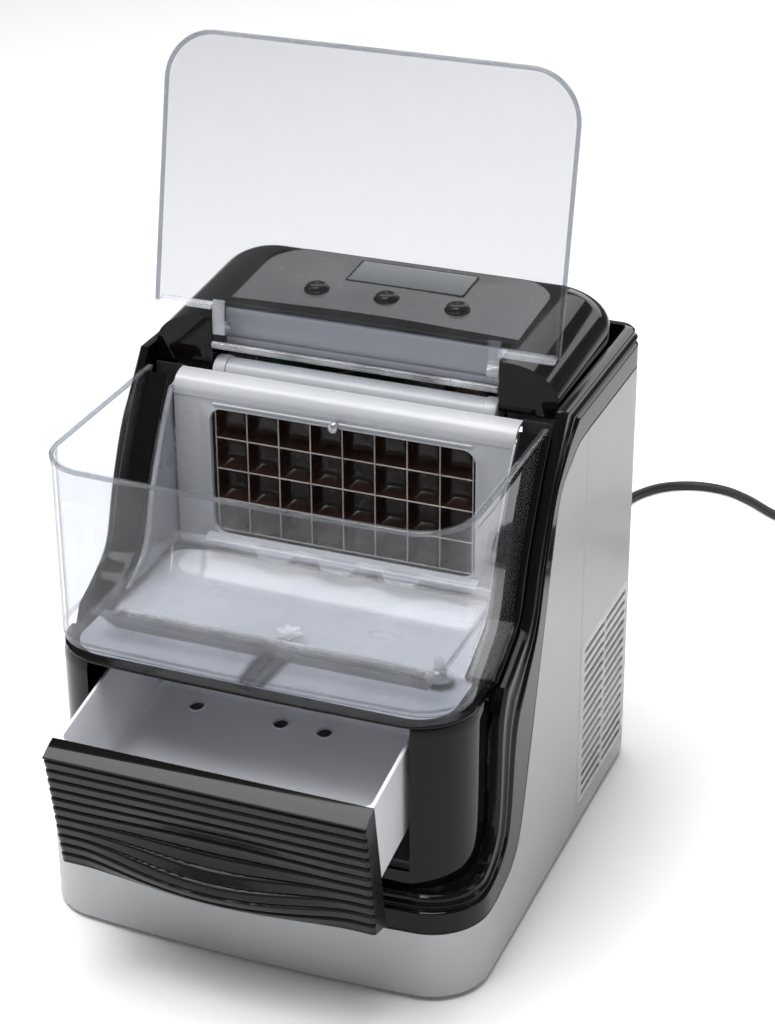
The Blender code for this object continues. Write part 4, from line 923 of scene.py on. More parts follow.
@dataclass
class MainsLead:
    """The mains cord with its sleeve, its coil of spare length and its plug.

    Attributes:
        exit: Where it leaves the sleeve.
        radius: Radius of the cord.
        length: Its whole length; not used.
        wind: Middle radii of its two rings of turns.
        levels: Heights of its two layers.
        join: Radius at which the run over the ground meets the coil.
        far: How far behind the exit the run meets the coil.
        plug_start: From the coil's side to the back of the plug.
        plug_height: Height of the plug's axis.
        pin_reach: From the plug's axis to a pin's.
    """

    exit: tuple[float, float, float] = (0.095, 0.215517, 0.032)
    radius: float = 3.5 * MM
    length: float = 1.8
    wind: tuple[float, float] = (45.6 * MM, 38.4 * MM)
    levels: tuple[float, float] = (3.8 * MM, 11.0 * MM)
    join: float = 52.8 * MM
    far: float = 341.5 * MM
    plug_start: float = 50.0 * MM
    plug_height: float = 18.3 * MM
    pin_reach: float = 9.5 * MM

    def route(self) -> Array:
        """The run over the ground, from inside the sleeve to the coil."""
        run = np.array([(95, -14, 32), (95, 0.3, 32), (95, 9, 31.9), (95, 24, 28.5), (94, 44, 18.5),
                        (91, 64, 8.5), (87, 84, 4), (72, 140, 3.8), (56, 200, 3.8), (43, 255, 3.8),
                        (36, 300, 3.8), (36, 330, 3.8), (44, 352, 3.8), (60, 371, 3.8), (84, 382, 3.8),
                        (110, 382, 3.8), (134, 371, 3.8), (160, 353, 3.8), (190, 343, 3.8),
                        (220, 341.5, 3.8), (239.6, 341.5, 3.8)]) * MM
        run[:, 1] += self.exit[1]
        line = spline(run, 6)
        line[:, 2] = np.maximum(line[:, 2], self.levels[0])
        return line[:-1]

    def centre(self) -> Array:
        """Middle of the coil on the ground."""
        return np.array([240 * MM, self.exit[1] + self.far - self.join, 0.0])

    def plug_place(self) -> tuple[float, float, float]:
        """Middle of the plug's back face."""
        middle = self.centre()
        return middle[0] + self.wind[0], middle[1] - self.plug_start, self.plug_height

    def turns(self) -> Array:
        """The coil, clockwise from its far side: the radius eases between its rings, the height between
        its layers."""
        phase = np.arange(0, 1531, 7.5)
        outer, inner = self.wind
        radius = self.join + (outer - self.join) * ease(phase, 0, 70)
        radius = radius + (inner - outer) * (ease(phase, 360, 430) - ease(phase, 1000, 1060))
        height = self.levels[0] + (self.levels[1] - self.levels[0]) * ease(phase, 680, 735)
        angle = np.radians(90 - phase)
        flat = self.centre()[:2] + radius[:, None] * np.stack([np.cos(angle), np.sin(angle)], axis=1)
        return np.hstack([flat, height[:, None]])

    def tail(self) -> Array:
        """From the coil's side up into the plug."""
        x, y = self.centre()[0] + self.wind[0], self.centre()[1]
        ends = [(x, y - 0.008, 0.011), (x, y - 0.018, 0.0114), (x, y - 0.029, 0.0138), (x, y - 0.041, 0.017),
                (x, y - 0.051, 0.0183), (x, y - 0.062, 0.0183)]
        return spline(ends, 4)

    def cord(self) -> bpy.types.Object:
        """The cord as one open curve."""
        line = np.vstack([self.route(), self.turns(), self.tail()])
        data = bpy.data.curves.new("mains_cord", "CURVE")
        data.dimensions, data.bevel_depth, data.bevel_resolution = "3D", self.radius, 4
        data.use_fill_caps = True
        run = data.splines.new("POLY")
        run.points.add(len(line) - 1)
        run.points.foreach_set("co", np.hstack([line, np.ones((len(line), 1))]).ravel())
        run.use_smooth = True
        data.materials.append(RUBBER.material())
        made = bpy.data.objects.new("mains_cord", data)
        bpy.context.scene.collection.objects.link(made)
        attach(made, Body.HOUSING.value)
        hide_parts("cord_run", "cord_coil")
        reach = np.linalg.norm(np.diff(line, axis=0), axis=1).sum()
        log.info("mains_cord: %.3f m along its middle", reach)
        return made

    def sleeve(self) -> bpy.types.Object:
        """Tapered sleeve: a collar in the panel, then rings that shrink towards the cord."""
        steps = np.linspace(0, 1, 61)
        radius = (7.6 - 3.0 * steps) * MM - 0.55 * MM * (np.cos(steps * 2 * np.pi * 6) > 0.3)
        run = [(8 * MM, -0.009), (8 * MM, -0.0023), (6 * MM, -0.0023), (6 * MM, 0.0003), (8 * MM, 0.0003)]
        run += list(zip(radius, 0.0012 + steps * 0.0286)) + [(4.0 * MM, 0.0302)]
        rear = low_high("rear_panel")[1][1]
        return build("cord_sleeve", turned(run, (self.exit[0], rear, self.exit[2]), "Y", 40), RUBBER,
                     Body.HOUSING, ("strain_relief",), sharp=30)

    def plug(self) -> bpy.types.Object:
        """Moulded round plug with a ribbed nose, its front face square to the pins."""
        nose = np.linspace(0, 1, 41)
        radius = (4.6 + 6.4 * nose**1.5) * MM - 0.5 * MM * (np.cos(nose * 2 * np.pi * 5) > 0.4)
        run = list(zip(radius, -nose * 0.024))
        run += [(13.5 * MM, -0.027), (17 * MM, -0.031), (18 * MM, -0.035), (18 * MM, -0.050),
                (17.2 * MM, -0.0525), (15.5 * MM, -0.053), (15.2 * MM, -0.052), (0, -0.052)]
        return build("plug_body", turned(run, self.plug_place(), "Y", 56), RUBBER, Body.HOUSING,
                     ("mains_plug",), sharp=32)

    def pins(self) -> bpy.types.Object:
        """Two round pins with rounded tips."""
        x, y, z = self.plug_place()
        run = [(2.4 * MM, -0.0515), (2.4 * MM, -0.0695), (2.1 * MM, -0.0709), (1.2 * MM, -0.0718),
               (0, -0.072)]
        shape = turned(run, (x - self.pin_reach, y, z), "Y", 24)
        shape = shape + turned(run, (x + self.pin_reach, y, z), "Y", 24)
        return build("plug_pins", shape, STEEL, Body.HOUSING, sharp=60)

    def make(self) -> None:
        cord, with_it = self.cord(), [self.plug(), self.pins(), self.sleeve()]


# ---------------------------------------------------------------- casing, trim and front


@dataclass
class Plan:
    """A wall seen from above: bowed front, round front corners, straight sides, round rear corners.

    Attributes:
        half: Half of its width.
        front: Y of the middle of its front.
        rear: Y of its back.
        radius: Radius of its front corners.
        rear_radius: Radius of its rear corners.
        bow: How much the front stands forward in its middle.
    """

    half: float
    front: float
    rear: float
    radius: float
    rear_radius: float
    bow: float

    def __post_init__(self) -> None:
        """Works out the right-hand half once: a parabola, an arc, a line, an arc and a line."""
        straight = self.half - self.radius
        x = np.linspace(0, straight, 60)
        first = np.stack([x, self.front + self.bow * (x / self.half) ** 2], axis=1)
        turn = np.linspace(-np.pi / 2, 0, 40)[1:]
        corner_y = first[-1, 1] + self.radius
        arc = np.stack([straight + self.radius * np.cos(turn), corner_y + self.radius * np.sin(turn)], axis=1)
        side_y = np.linspace(corner_y, self.rear - self.rear_radius, 90)[1:]
        side = np.stack([np.full_like(side_y, self.half), side_y], axis=1)
        turn = np.linspace(0, np.pi / 2, 20)[1:]
        middle = np.array([self.half - self.rear_radius, self.rear - self.rear_radius])
        back = middle + self.rear_radius * np.stack([np.cos(turn), np.sin(turn)], axis=1)
        last_x = np.linspace(middle[0], 0, 20)[1:]
        last = np.stack([last_x, np.full_like(last_x, self.rear)], axis=1)
        self.line = np.vstack([first, arc, side, back, last])
        step = np.linalg.norm(np.diff(self.line, axis=0), axis=1)
        self.reach = np.r_[0, np.cumsum(step)]
        tangent = np.gradient(self.line, axis=0)
        tangent /= np.linalg.norm(tangent, axis=1, keepdims=True)
        self.out = np.stack([tangent[:, 1], -tangent[:, 0]], axis=1)
        self.rear_start = float(self.reach[-20])

    def at_y(self, y: Array) -> Array:
        """How far along the wall a place on its side is."""
        return np.interp(y, self.line[:, 1], self.reach)

    def at_x(self, x: float) -> float:
        """How far along the front a place is."""
        return float(np.interp(x, self.line[:90, 0], self.reach[:90]))

    def y(self, reach: Array) -> Array:
        """Y at places along the wall, for either side."""
        return np.interp(np.abs(reach), self.reach, self.line[:, 1])

    def wall(self, reach: Array, z: Array, depth: Array) -> Array:
        """Points on the wall: its plan at each reach, moved inwards by depth, at height z.

        Args:
            reach: Distance from the middle of the front, negative to the left.
            z: Heights.
            depth: Distance inwards from the wall.

        Returns:
            The grid of points.
        """
        far = np.abs(reach)
        x = np.interp(far, self.reach, self.line[:, 0]) - depth * np.interp(far, self.reach, self.out[:, 0])
        y = np.interp(far, self.reach, self.line[:, 1]) - depth * np.interp(far, self.reach, self.out[:, 1])
        sign = np.where(reach < 0, -1.0, 1.0)
        return np.stack(np.broadcast_arrays(sign * x, y, z), axis=-1)


def both_sides(half: Array) -> Array:
    """A run of reaches from the left end through the middle to the right end."""
    half = np.unique(np.round(half, 7))
    return np.r_[-half[::-1], half[1:]] if half[0] == 0 else np.r_[-half[::-1], half]


@dataclass
class Casing:
    """Silver wrap, its vent, the back, the base and the feet.

    Attributes:
        corner: Radius of the front corners.
        rear_corner: Radius of the rear corners.
        bow: Forward bow of the front.
        skirt: Top of the silver band under the front.
        wall: Thickness of the sheet.
    """

    corner: float = 38 * MM
    rear_corner: float = 14 * MM
    bow: float = 8 * MM
    skirt: float = 50 * MM
    wall: float = 1.8 * MM

    def __post_init__(self) -> None:
        """Reads the places from the frame."""
        low, high = low_high("outer_casing")
        self.foot, self.top, self.front, self.rear = low[2], high[2], low[1], high[1]
        self.plan = Plan(high[0], self.front, self.rear, self.corner, self.rear_corner, self.bow)

    def border(self) -> Array:
        """Side view of the edge between silver and trim, from the front to the rear, rows of y and z."""
        rise = self.top - self.skirt
        ends = [(56, 0.0), (82, 0.03), (98, 0.104), (114, 0.31), (147, 0.76), (161, 0.915), (182, 0.97),
                (197, 0.995), (219, 1.0)]
        return spline([(self.front + y * MM, self.skirt + rise * s) for y, s in ends], 6)

    def shell(self) -> None:
        """Sheet from the foot up to the border, open behind the vent."""
        border = self.border()
        vent_low, vent_high = low_high("side_vent")
        cuts = self.plan.at_y(np.array([vent_low[1] - 0.0003, vent_high[1] + 0.0003]))
        ends = self.plan.at_y(np.array([self.front + 50 * MM, self.front + 222 * MM]))
        half = np.r_[np.linspace(0, ends[0], 60), np.linspace(*ends, 90), cuts,
                     np.linspace(ends[1], self.plan.rear_start, 60)]
        reach = both_sides(half)
        top = np.interp(self.plan.y(reach), border[:, 0], border[:, 1])
        share = np.unique(np.r_[0, 0.004, 0.01, np.linspace(0.02, 1, 34),
                                (vent_low[2] - 0.0003 - self.foot) / (self.top - self.foot),
                                (vent_high[2] + 0.0003 - self.foot) / (self.top - self.foot)])
        z = self.foot + share[:, None] * (top - self.foot)[None, :]
        hem = 0.8 * MM * (1 - ease(share, 0, 0.012))[:, None]
        hollow = 0.5 * MM * bump_at(self.plan.y(reach), vent_low[1] - 6.5 * MM, 0.8 * MM) * (reach > 0)
        depth = hem + hollow[None, :] * ease(z, 0.004, 0.02) * (1 - ease(z, 0.28, 0.298))
        outer = self.plan.wall(reach[None, :], z, depth)
        inner = self.plan.wall(reach[None, :], z, depth + self.wall)
        shape = shell(outer, inner)
        middle = shape.points[shape.quads].mean(axis=1)
        inside = (middle[:, 0] > 0.14) & (middle[:, 1] > vent_low[1]) & (middle[:, 1] < vent_high[1])
        inside &= (middle[:, 2] > vent_low[2]) & (middle[:, 2] < vent_high[2])
        shape.quads = shape.quads[~inside]
        build("casing_wrap", shape, SILVER, Body.HOUSING, ("outer_casing",), sharp=50)

    def vent(self) -> None:
        """Pressed grille: a plate whose slots have hooded louvres, worked out as a height over a grid."""
        low, high = low_high("side_vent")
        y = np.linspace(low[1], high[1], 90)
        z = np.linspace(low[2], high[2], 360)
        yy, zz = np.meshgrid(y, z, indexing="xy")
        frame_wide, bar, rows = 6 * MM, 5 * MM, 16
        middle = (low[1] + high[1]) / 2
        column = ease(yy, low[1] + frame_wide - 1 * MM, low[1] + frame_wide + 1 * MM)
        column = column * (1 - ease(yy, high[1] - frame_wide - 1 * MM, high[1] - frame_wide + 1 * MM))
        on_bar = np.abs(yy - middle) < bar / 2 + 1 * MM
        column = column * (1 - bump_at(yy, middle, bar / 2) ** 0.25 * on_bar)
        pitch = (high[2] - low[2] - 2 * frame_wide) / (rows - 0.5)
        phase = (zz - low[2] - frame_wide) / pitch
        inside = (phase > 0) & (phase < rows - 0.5)
        saw = np.where(np.mod(phase, 1) < 0.5, np.sin(np.mod(phase, 1) * 2 * np.pi), 0)
        depth = inside * column * saw * 4.6 * MM
        grid = np.stack([high[0] - 0.0001 - depth, yy, zz], axis=-1)
        # The pattern's second number paints shade into the slots: 0 at the bottom of a louvre, where the vent
        # finish turns nearly black.
        pattern = np.stack([yy, np.where(inside, 1 - column * saw, 1)], axis=-1)
        shape = shell(grid, grid - [0.9 * MM, 0, 0], pattern=pattern)
        build("vent_grille", shape, VENT, Body.HOUSING, ("side_vent",), sharp=60)
        screw = [(0, 0.0005), (1.2 * MM, 0.0009), (2.4 * MM, 0.0004), (2.5 * MM, 0), (2.5 * MM, -0.002)]
        build("vent_screw", turned(screw, (high[0], high[1] - 3 * MM, low[2] + 12 * MM), "X", 20), STEEL,
              Body.HOUSING)

    def make(self) -> None:
        """The wrap and everything that carries it."""
        self.shell()
        self.vent()
        softened("rear_panel", ZINC, Body.HOUSING, 0.3 * MM)
        softened("base_plate", ZINC, Body.HOUSING, 0.3 * MM)
        for name in ("foot_front_left", "foot_front_right", "foot_rear_left", "foot_rear_right"):
            low, high = low_high(name)
            r = (high[0] - low[0]) / 2
            run = [(0, 0.0003), (r * 0.45, 0.0003), (r * 0.5, 0), (r * 0.86, 0), (r * 0.96, 0.0006),
                   (r, 0.0016), (r, high[2])]
            centre = ((low[0] + high[0]) / 2, (low[1] + high[1]) / 2, 0)
            build(name + "_pad", turned(run, centre, "Z", 36), RUBBER, Body.HOUSING, (name,))


@dataclass
class Trim:
    """Gloss black band with a double bead, from the foot of the front up both sides and round the back.

    Attributes:
        casing: The wrap that it lies on.
        width: Height of the band along the front.
        wall: Its thickness.
    """

    casing: Casing
    width: float = 26 * MM
    wall: float = 9.5 * MM

    def __post_init__(self) -> None:
        """Reads the places from the frame."""
        self.top = low_high("trim_frame")[1][2]
        self.deck = low_high("deck")[1][2]
        self.bin_front = low_high("ice_bin")[0][1]

    def contour(self, shift: float = 0.0) -> Array:
        """Side view of the housing's edge beside the bin, from the deck up, rows of y and z."""
        rise = self.top - self.deck
        ends = [(62, 0.0), (82, 0.07), (104, 0.18), (118, 0.44), (139, 0.73), (152, 0.87), (164, 1.0)]
        line = spline([(self.bin_front + y * MM, self.deck + rise * s) for y, s in ends], 8)
        return line + [shift, 0]

    def panel_edge(self) -> Array:
        """Side view of the front panel's rear edge, from the foot up, rows of y and z."""
        foot = self.casing.skirt + self.width
        ends = [(4, foot), (26, foot + 3 * MM), (44, foot + 14 * MM), (51, foot + 34 * MM),
                (54, self.deck - 22 * MM), (62, self.deck)]
        return spline([(self.bin_front + y * MM, z) for y, z in ends], 8)

    def band(self) -> None:
        """Ruled between its two edges, unrolled along the wall; the bead is a depth across its width."""
        plan = self.casing.plan
        lower, edge, contour = self.casing.border(), self.panel_edge(), self.contour()
        foot, skirt = self.casing.skirt + self.width, self.casing.skirt + 0.0003
        low, up, side = (np.stack([plan.at_y(line[:, 0]), line[:, 1]], axis=1)
                         for line in (lower, edge, contour))
        low[:, 1] += 0.0003
        end = plan.reach[-1]

        def cut(line: Array, least: float, most: float) -> Array:
            """The part of a run between two heights."""
            return line[(line[:, 1] >= least - 1e-6) & (line[:, 1] <= most + 1e-6)]

        def flat(start: float, stop: float, height: float) -> Array:
            """A level run at one height."""
            return np.array([(start, height), (stop, height)])

        pairs = [
            (flat(0, low[0, 0], skirt), flat(0, up[0, 0], foot), 46),
            (cut(low, 0, 0.0765), cut(up, 0, 0.112), 34),
            (cut(low, 0.0765, 0.132), cut(up, 0.112, 0.195), 30),
            (cut(low, 0.132, 0.246), cut(side, self.deck, 0.2515), 40),
            (cut(low, 0.246, 0.31), cut(side, 0.2515, 0.33), 44),
            (flat(low[-1, 0], end, low[-1, 1]), flat(side[-1, 0], end, self.top), 90)]
        lows, ups = [], []
        for k, (a, b, count) in enumerate(pairs):
            if k:
                a, b = np.vstack([lows[-1][-1:], a]), np.vstack([ups[-1][-1:], b])
            lows.append(evenly(a, count)[int(k > 0):])
            ups.append(evenly(b, count)[int(k > 0):])
        low_run, up_run = np.vstack(lows), np.vstack(ups)
        t = np.unique(np.r_[np.linspace(0, 0.06, 6), np.linspace(0.06, 0.52, 8), np.linspace(0.52, 1, 44)])
        half = low_run[None] * (1 - t[:, None, None]) + up_run[None] * t[:, None, None]
        full = np.concatenate([half[:, ::-1] * [-1, 1], half[:, 1:]], axis=1)
        depth = 1.6 * MM * (1 - ease(t, -0.02, 0.05)) + 2.4 * MM * ease(t, 0.56, 0.64)
        depth = depth - 1.9 * MM * bump_at(t, 0.76, 0.065) + 2.2 * MM * ease(t, 0.93, 1.02)
        depth = np.broadcast_to(depth[:, None], full.shape[:2])
        grid = plan.wall(full[..., 0], full[..., 1], depth)
        inner = plan.wall(full[..., 0], full[..., 1], np.full(full.shape[:2], self.wall))
        build("trim_band", shell(grid, inner), GLOSS, Body.HOUSING, ("trim_frame",), sharp=48)

    def front(self) -> None:
        """Dark panel under the bin: a wall down to the trim, open over the drawer's width."""
        low, high = low_high("front_panel")
        plan = Plan(high[0], low[1], self.casing.rear, self.casing.corner, 3 * MM, 3 * MM)
        edge = self.panel_edge()
        window = low_high("drawer_front")[1][0] + 2 * MM
        sill = frame_sill()
        side = plan.at_x(window)
        half = np.r_[np.linspace(0, side, 30), np.linspace(side, plan.reach[95], 60),
                     np.linspace(plan.reach[95], plan.at_y(edge[-1, 0]), 60)]
        reach = both_sides(half)
        foot = np.interp(plan.y(reach), edge[:, 0], edge[:, 1] + 0.0003, left=edge[0, 1] + 0.0003)
        share = np.unique(np.r_[np.linspace(0, 1, 30), (sill - foot.min()) / (high[2] - foot.min())])
        z = foot + share[:, None] * (high[2] - foot)
        inside = (np.abs(reach) < plan.at_x(window) - 1e-6)[None, :] & (z > sill + 1e-5)
        roll = 1.0 * MM * ease(share, 0.985, 1.0)[:, None]
        depth = np.broadcast_to(roll, z.shape)
        shape = shell(plan.wall(reach[None, :], z, depth), plan.wall(reach[None, :], z, depth + 2.4 * MM))
        gone = np.tile(inside.ravel(), 2)
        shape.quads = shape.quads[~gone[shape.quads].any(axis=1)]
        build("front_panel_skin", shape, GLOSS, Body.HOUSING, ("front_panel",), sharp=50)
        softened("deck", GLOSS, Body.HOUSING, 0.6 * MM)

    def make(self) -> None:
        """Band, front panel and deck."""
        self.band()
        self.front()


def frame_sill() -> float:
    """Height of the front panel's sill under the drawer, read from its mesh."""
    mesh = frame["nodes"]["front_panel"].data
    flat = np.empty(len(mesh.vertices) * 3, np.float32)
    mesh.vertices.foreach_get("co", flat)
    points = flat.reshape(-1, 3)
    levels = points[(np.abs(points[:, 0]) < 0.09) & (points[:, 2] < 0.12), 2]
    return float(levels.max())


# ---------------------------------------------------------------- bin, rails and basket


@dataclass
class IceBin:
    """Clear bin with its rim, the rails and flanges beside it, its tray, and the basket in it.

    Attributes:
        trim: The band whose contour it follows.
        radius: Radius of its front corners.
        wall: Thickness of its wall.
        fillet: Radius along its foot.
    """

    trim: Trim
    radius: float = 33 * MM
    wall: float = 2.6 * MM
    fillet: float = 9 * MM

    def bin(self) -> None:
        """Wall from the contour to the rim with a quarter round along its foot, and the floor."""
        low, high = low_high("ice_bin")
        plan = Plan(high[0], low[1], self.trim.casing.rear, self.radius, 3 * MM, 3 * MM)
        contour = self.trim.contour(-0.0003)
        half = np.r_[np.linspace(0, plan.at_y(contour[0, 0]), 90),
                     np.linspace(plan.at_y(contour[0, 0]), plan.at_y(high[1]), 70)]
        reach = both_sides(half)
        foot = np.interp(plan.y(reach), contour[:, 0], contour[:, 1], left=low[2])
        start = np.maximum(foot, low[2] + self.fillet * (1 - ease(plan.y(reach), contour[0, 0] - 0.02,
                                                                  contour[0, 0])))
        t = np.linspace(0, 1, 40)[:, None]
        z = start + t * (high[2] - start)
        rim = -0.9 * MM * ease(z, high[2] - 5 * MM, high[2] - 3 * MM)
        outer = plan.wall(reach[None, :], z, rim)
        inner = plan.wall(reach[None, :], z, self.wall - 0.5 * rim)
        build("bin_wall", shell(outer, inner), CLEAR, Body.HOUSING, ("ice_bin",), sharp=50)
        near = reach[plan.y(reach) <= contour[0, 0] + 1e-6]
        a = np.linspace(0, np.pi / 2, 12)[:, None]
        r = self.fillet
        grid = plan.wall(near[None, :], low[2] + r - r * np.sin(a), r - r * np.cos(a) + 0 * near)
        last = grid[-1]
        share = np.linspace(0, 1, 8)[1:, None, None]
        flat = last[None] * (1 - share) + (last * [0, 1, 1])[None] * share
        grid = np.concatenate([grid, flat])
        build("bin_floor", shell(grid, grid + [0, 0, self.wall * 0.8]), CLEAR, Body.HOUSING,
              sharp=50)
        lip = plan.wall(reach, np.full_like(reach, high[2] - 1.2 * MM), np.full_like(reach, 0.6 * MM))
        build("bin_rim", tube(lip, 1.5 * MM, 10), CLEAR_EDGE, Body.HOUSING, sharp=80)

    def rails(self) -> None:
        """Black upright on each side: a round-edged section carried up the contour."""
        for word in ("left", "right"):
            low, high = low_high(f"side_rail_{word}")
            line = self.trim.contour(0.0)
            line = evenly(line[line[:, 1] < high[2] - 0.0005], 70)
            out = 2.4 * MM
            left, right = (low[0] - out, high[0]) if word == "left" else (low[0], high[0] + out)
            section = corner_loop(left, -6.0 * MM, right, -0.4 * MM, 2.4 * MM, 6, 8)
            groove = bump_at(section[:, 0], (low[0] + high[0]) / 2, 2.2 * MM) * (section[:, 1] > -1.2 * MM)
            section[:, 1] -= 1.4 * MM * groove
            build(f"rail_{word}", along_contour(line, section), GLOSS, Body.HOUSING,
                  (f"side_rail_{word}",), sharp=50)

    def flanges(self) -> None:
        """Clear side of the ice chute with a thick bright lip down its front edge."""
        back = low_high("evaporator_grid")[1][1]
        for word in ("left", "right"):
            low, high = low_high(f"chute_side_{word}")
            x = (low[0] + high[0]) / 2
            side = 1 if x > 0 else -1
            line = self.trim.contour(2.0 * MM)
            line = evenly(line[(line[:, 1] > low[2]) & (line[:, 1] < high[2])], 60)
            t = np.linspace(0, 1, 14)[:, None]
            y = line[:, 0] * (1 - t) + back * t
            sway = 0.5 * MM * np.sin(t * 9 + line[:, 1] * 60)
            grid = np.stack([np.full_like(y, x) + sway, y, np.broadcast_to(line[:, 1], y.shape)], axis=-1)
            build(f"chute_{word}", thick(grid, 1.6 * MM), FROSTED, Body.HOUSING,
                  (f"chute_side_{word}",), sharp=50)
            path = np.stack([np.full(len(line), x), line[:, 0], line[:, 1]], axis=1)
            build(f"chute_lip_{word}", tube(path, 1.9 * MM, 14), FROSTED, Body.HOUSING)
            sheet = grid + [side * 1.5 * MM, 1.0 * MM, 0]
            build(f"chute_liner_{word}", thick(sheet, 0.8 * MM), WHITE, Body.HOUSING, sharp=50)

    def tray(self) -> None:
        """Thin pale tray between the deck and the bin's floor, with round front corners."""
        low, high = low_high("ice_bin")
        back = low_high("evaporator_grid")[0][1]
        line = corner_loop(low[0] + 11 * MM, low[1] + 9 * MM, high[0] - 11 * MM, back, 24 * MM, 30, 12)
        level = low_high("deck")[1][2] + 0.05 * MM
        middle = line.mean(axis=0)
        rows = [np.column_stack([middle + (line - middle) * share, np.full(len(line), level + up)])
                for share, up in ((1.0, 0.0), (1.0, 0.0002), (0.7, 0.0002), (0.4, 0.0002), (0.02, 0.0002))]
        build("bin_tray", skin(np.stack(rows), wrap=True, capped=True), PALE, Body.HOUSING)

    def basket(self) -> None:
        """Clear basket: a height over a rectangle, with a flat floor, rims, ribs and a sloping back."""
        low, high = low_high("ice_basket")
        u = np.linspace(-1, 1, 121)
        v = np.linspace(0, 1, 111)
        uu, vv = np.meshgrid(u, v, indexing="xy")
        half = high[0]
        front, back = low[1], high[1]
        x, y = uu * half, front + vv * (back - front)
        rise = 15 * MM
        side = ease(np.abs(x), half - 12 * MM, half - 2 * MM)
        fore = 1 - ease(y, front + 1 * MM, front + 14 * MM)
        rear = ease(y, back - 34 * MM, back - 4 * MM)
        z = low[2] + rise * np.maximum(np.maximum(side, fore), rear)
        z = z - 1.6 * MM * bump_at(y, front + 7 * MM, 2.2 * MM) * fore
        z = z + 1.5 * MM * bump_at(y, front + 30 * MM, 1.6 * MM) * (1 - side) * (np.abs(x) < half - 9 * MM)
        z = z - 2.0 * MM * bump_at(np.abs(x), half - 4 * MM, 1.6 * MM) * (1 - fore) * (1 - rear)
        away = np.hypot(x, y - (front + 42 * MM))
        petals = 1.0 + 0.25 * np.cos(6 * np.arctan2(y - front - 42 * MM, x))
        rosette = bump_at(away, 8 * MM * petals.mean(), 2.0 * MM) * petals
        z = z + 1.3 * MM * rosette - 0.8 * MM * (away < 3 * MM)
        grid = np.stack([x, y, z], axis=-1)
        build("basket_tray", shell(grid, grid + [0, 0, 1.8 * MM]), TRAY, Body.BASKET,
              ("ice_basket",), sharp=60)
        rim = np.array([(-half + 3 * MM, back - 1.5 * MM), (half - 3 * MM, back - 1.5 * MM)])
        run = evenly(np.column_stack([rim, [high[2] - 15 * MM + rise] * 2]), 60)
        run[:, 2] = low[2] + rise
        build("basket_rear_bead", tube(run, 3.2 * MM, 16), FROSTED, Body.BASKET)
        run = evenly(np.array([(-half + 6 * MM, front + 30 * MM, low[2] + 3 * MM),
                               (half - 6 * MM, front + 30 * MM, low[2] + 3 * MM)]), 40)
        build("basket_rib", tube(run, 1.4 * MM, 12), FROSTED, Body.BASKET)
        boss = [(9 * MM, 0.5 * MM), (9 * MM, 1.6 * MM), (7.6 * MM, 2.0 * MM), (6 * MM, 1.8 * MM),
                (5 * MM, 2.6 * MM), (4.6 * MM, 5 * MM), (3.2 * MM, 6 * MM), (3 * MM, 12.6 * MM),
                (1.4 * MM, 14.4 * MM), (0, 14.6 * MM)]
        place = (half - 9.6 * MM, front + 28 * MM, low[2] + 1 * MM)
        build("basket_post", turned(boss, place, "Z", 32), FROSTED, Body.BASKET)
        flower = [(4.2 * MM, 0.6 * MM), (7.5 * MM, 1.4 * MM), (8.6 * MM, 2.6 * MM), (7.8 * MM, 3.0 * MM),
                  (4.6 * MM, 1.9 * MM), (0, 1.9 * MM)]
        petal = turned(flower, (0, front + 42 * MM, low[2] + 0.6 * MM), "Z", 60)
        angle = np.arctan2(petal.points[:, 1] - front - 42 * MM, petal.points[:, 0])
        swell = (1 + 0.16 * np.cos(6 * angle))[:, None]
        centre = np.array([0, front + 42 * MM, 0])
        petal.points = (petal.points - centre) * np.hstack([swell, swell, np.ones_like(swell)]) + centre
        build("basket_drain", petal, FROSTED, Body.BASKET)

    def make(self) -> None:
        """Bin, rails, flanges and basket."""
        self.bin()
        self.rails()
        self.flanges()
        self.tray()
        self.basket()


# ---------------------------------------------------------------- evaporator


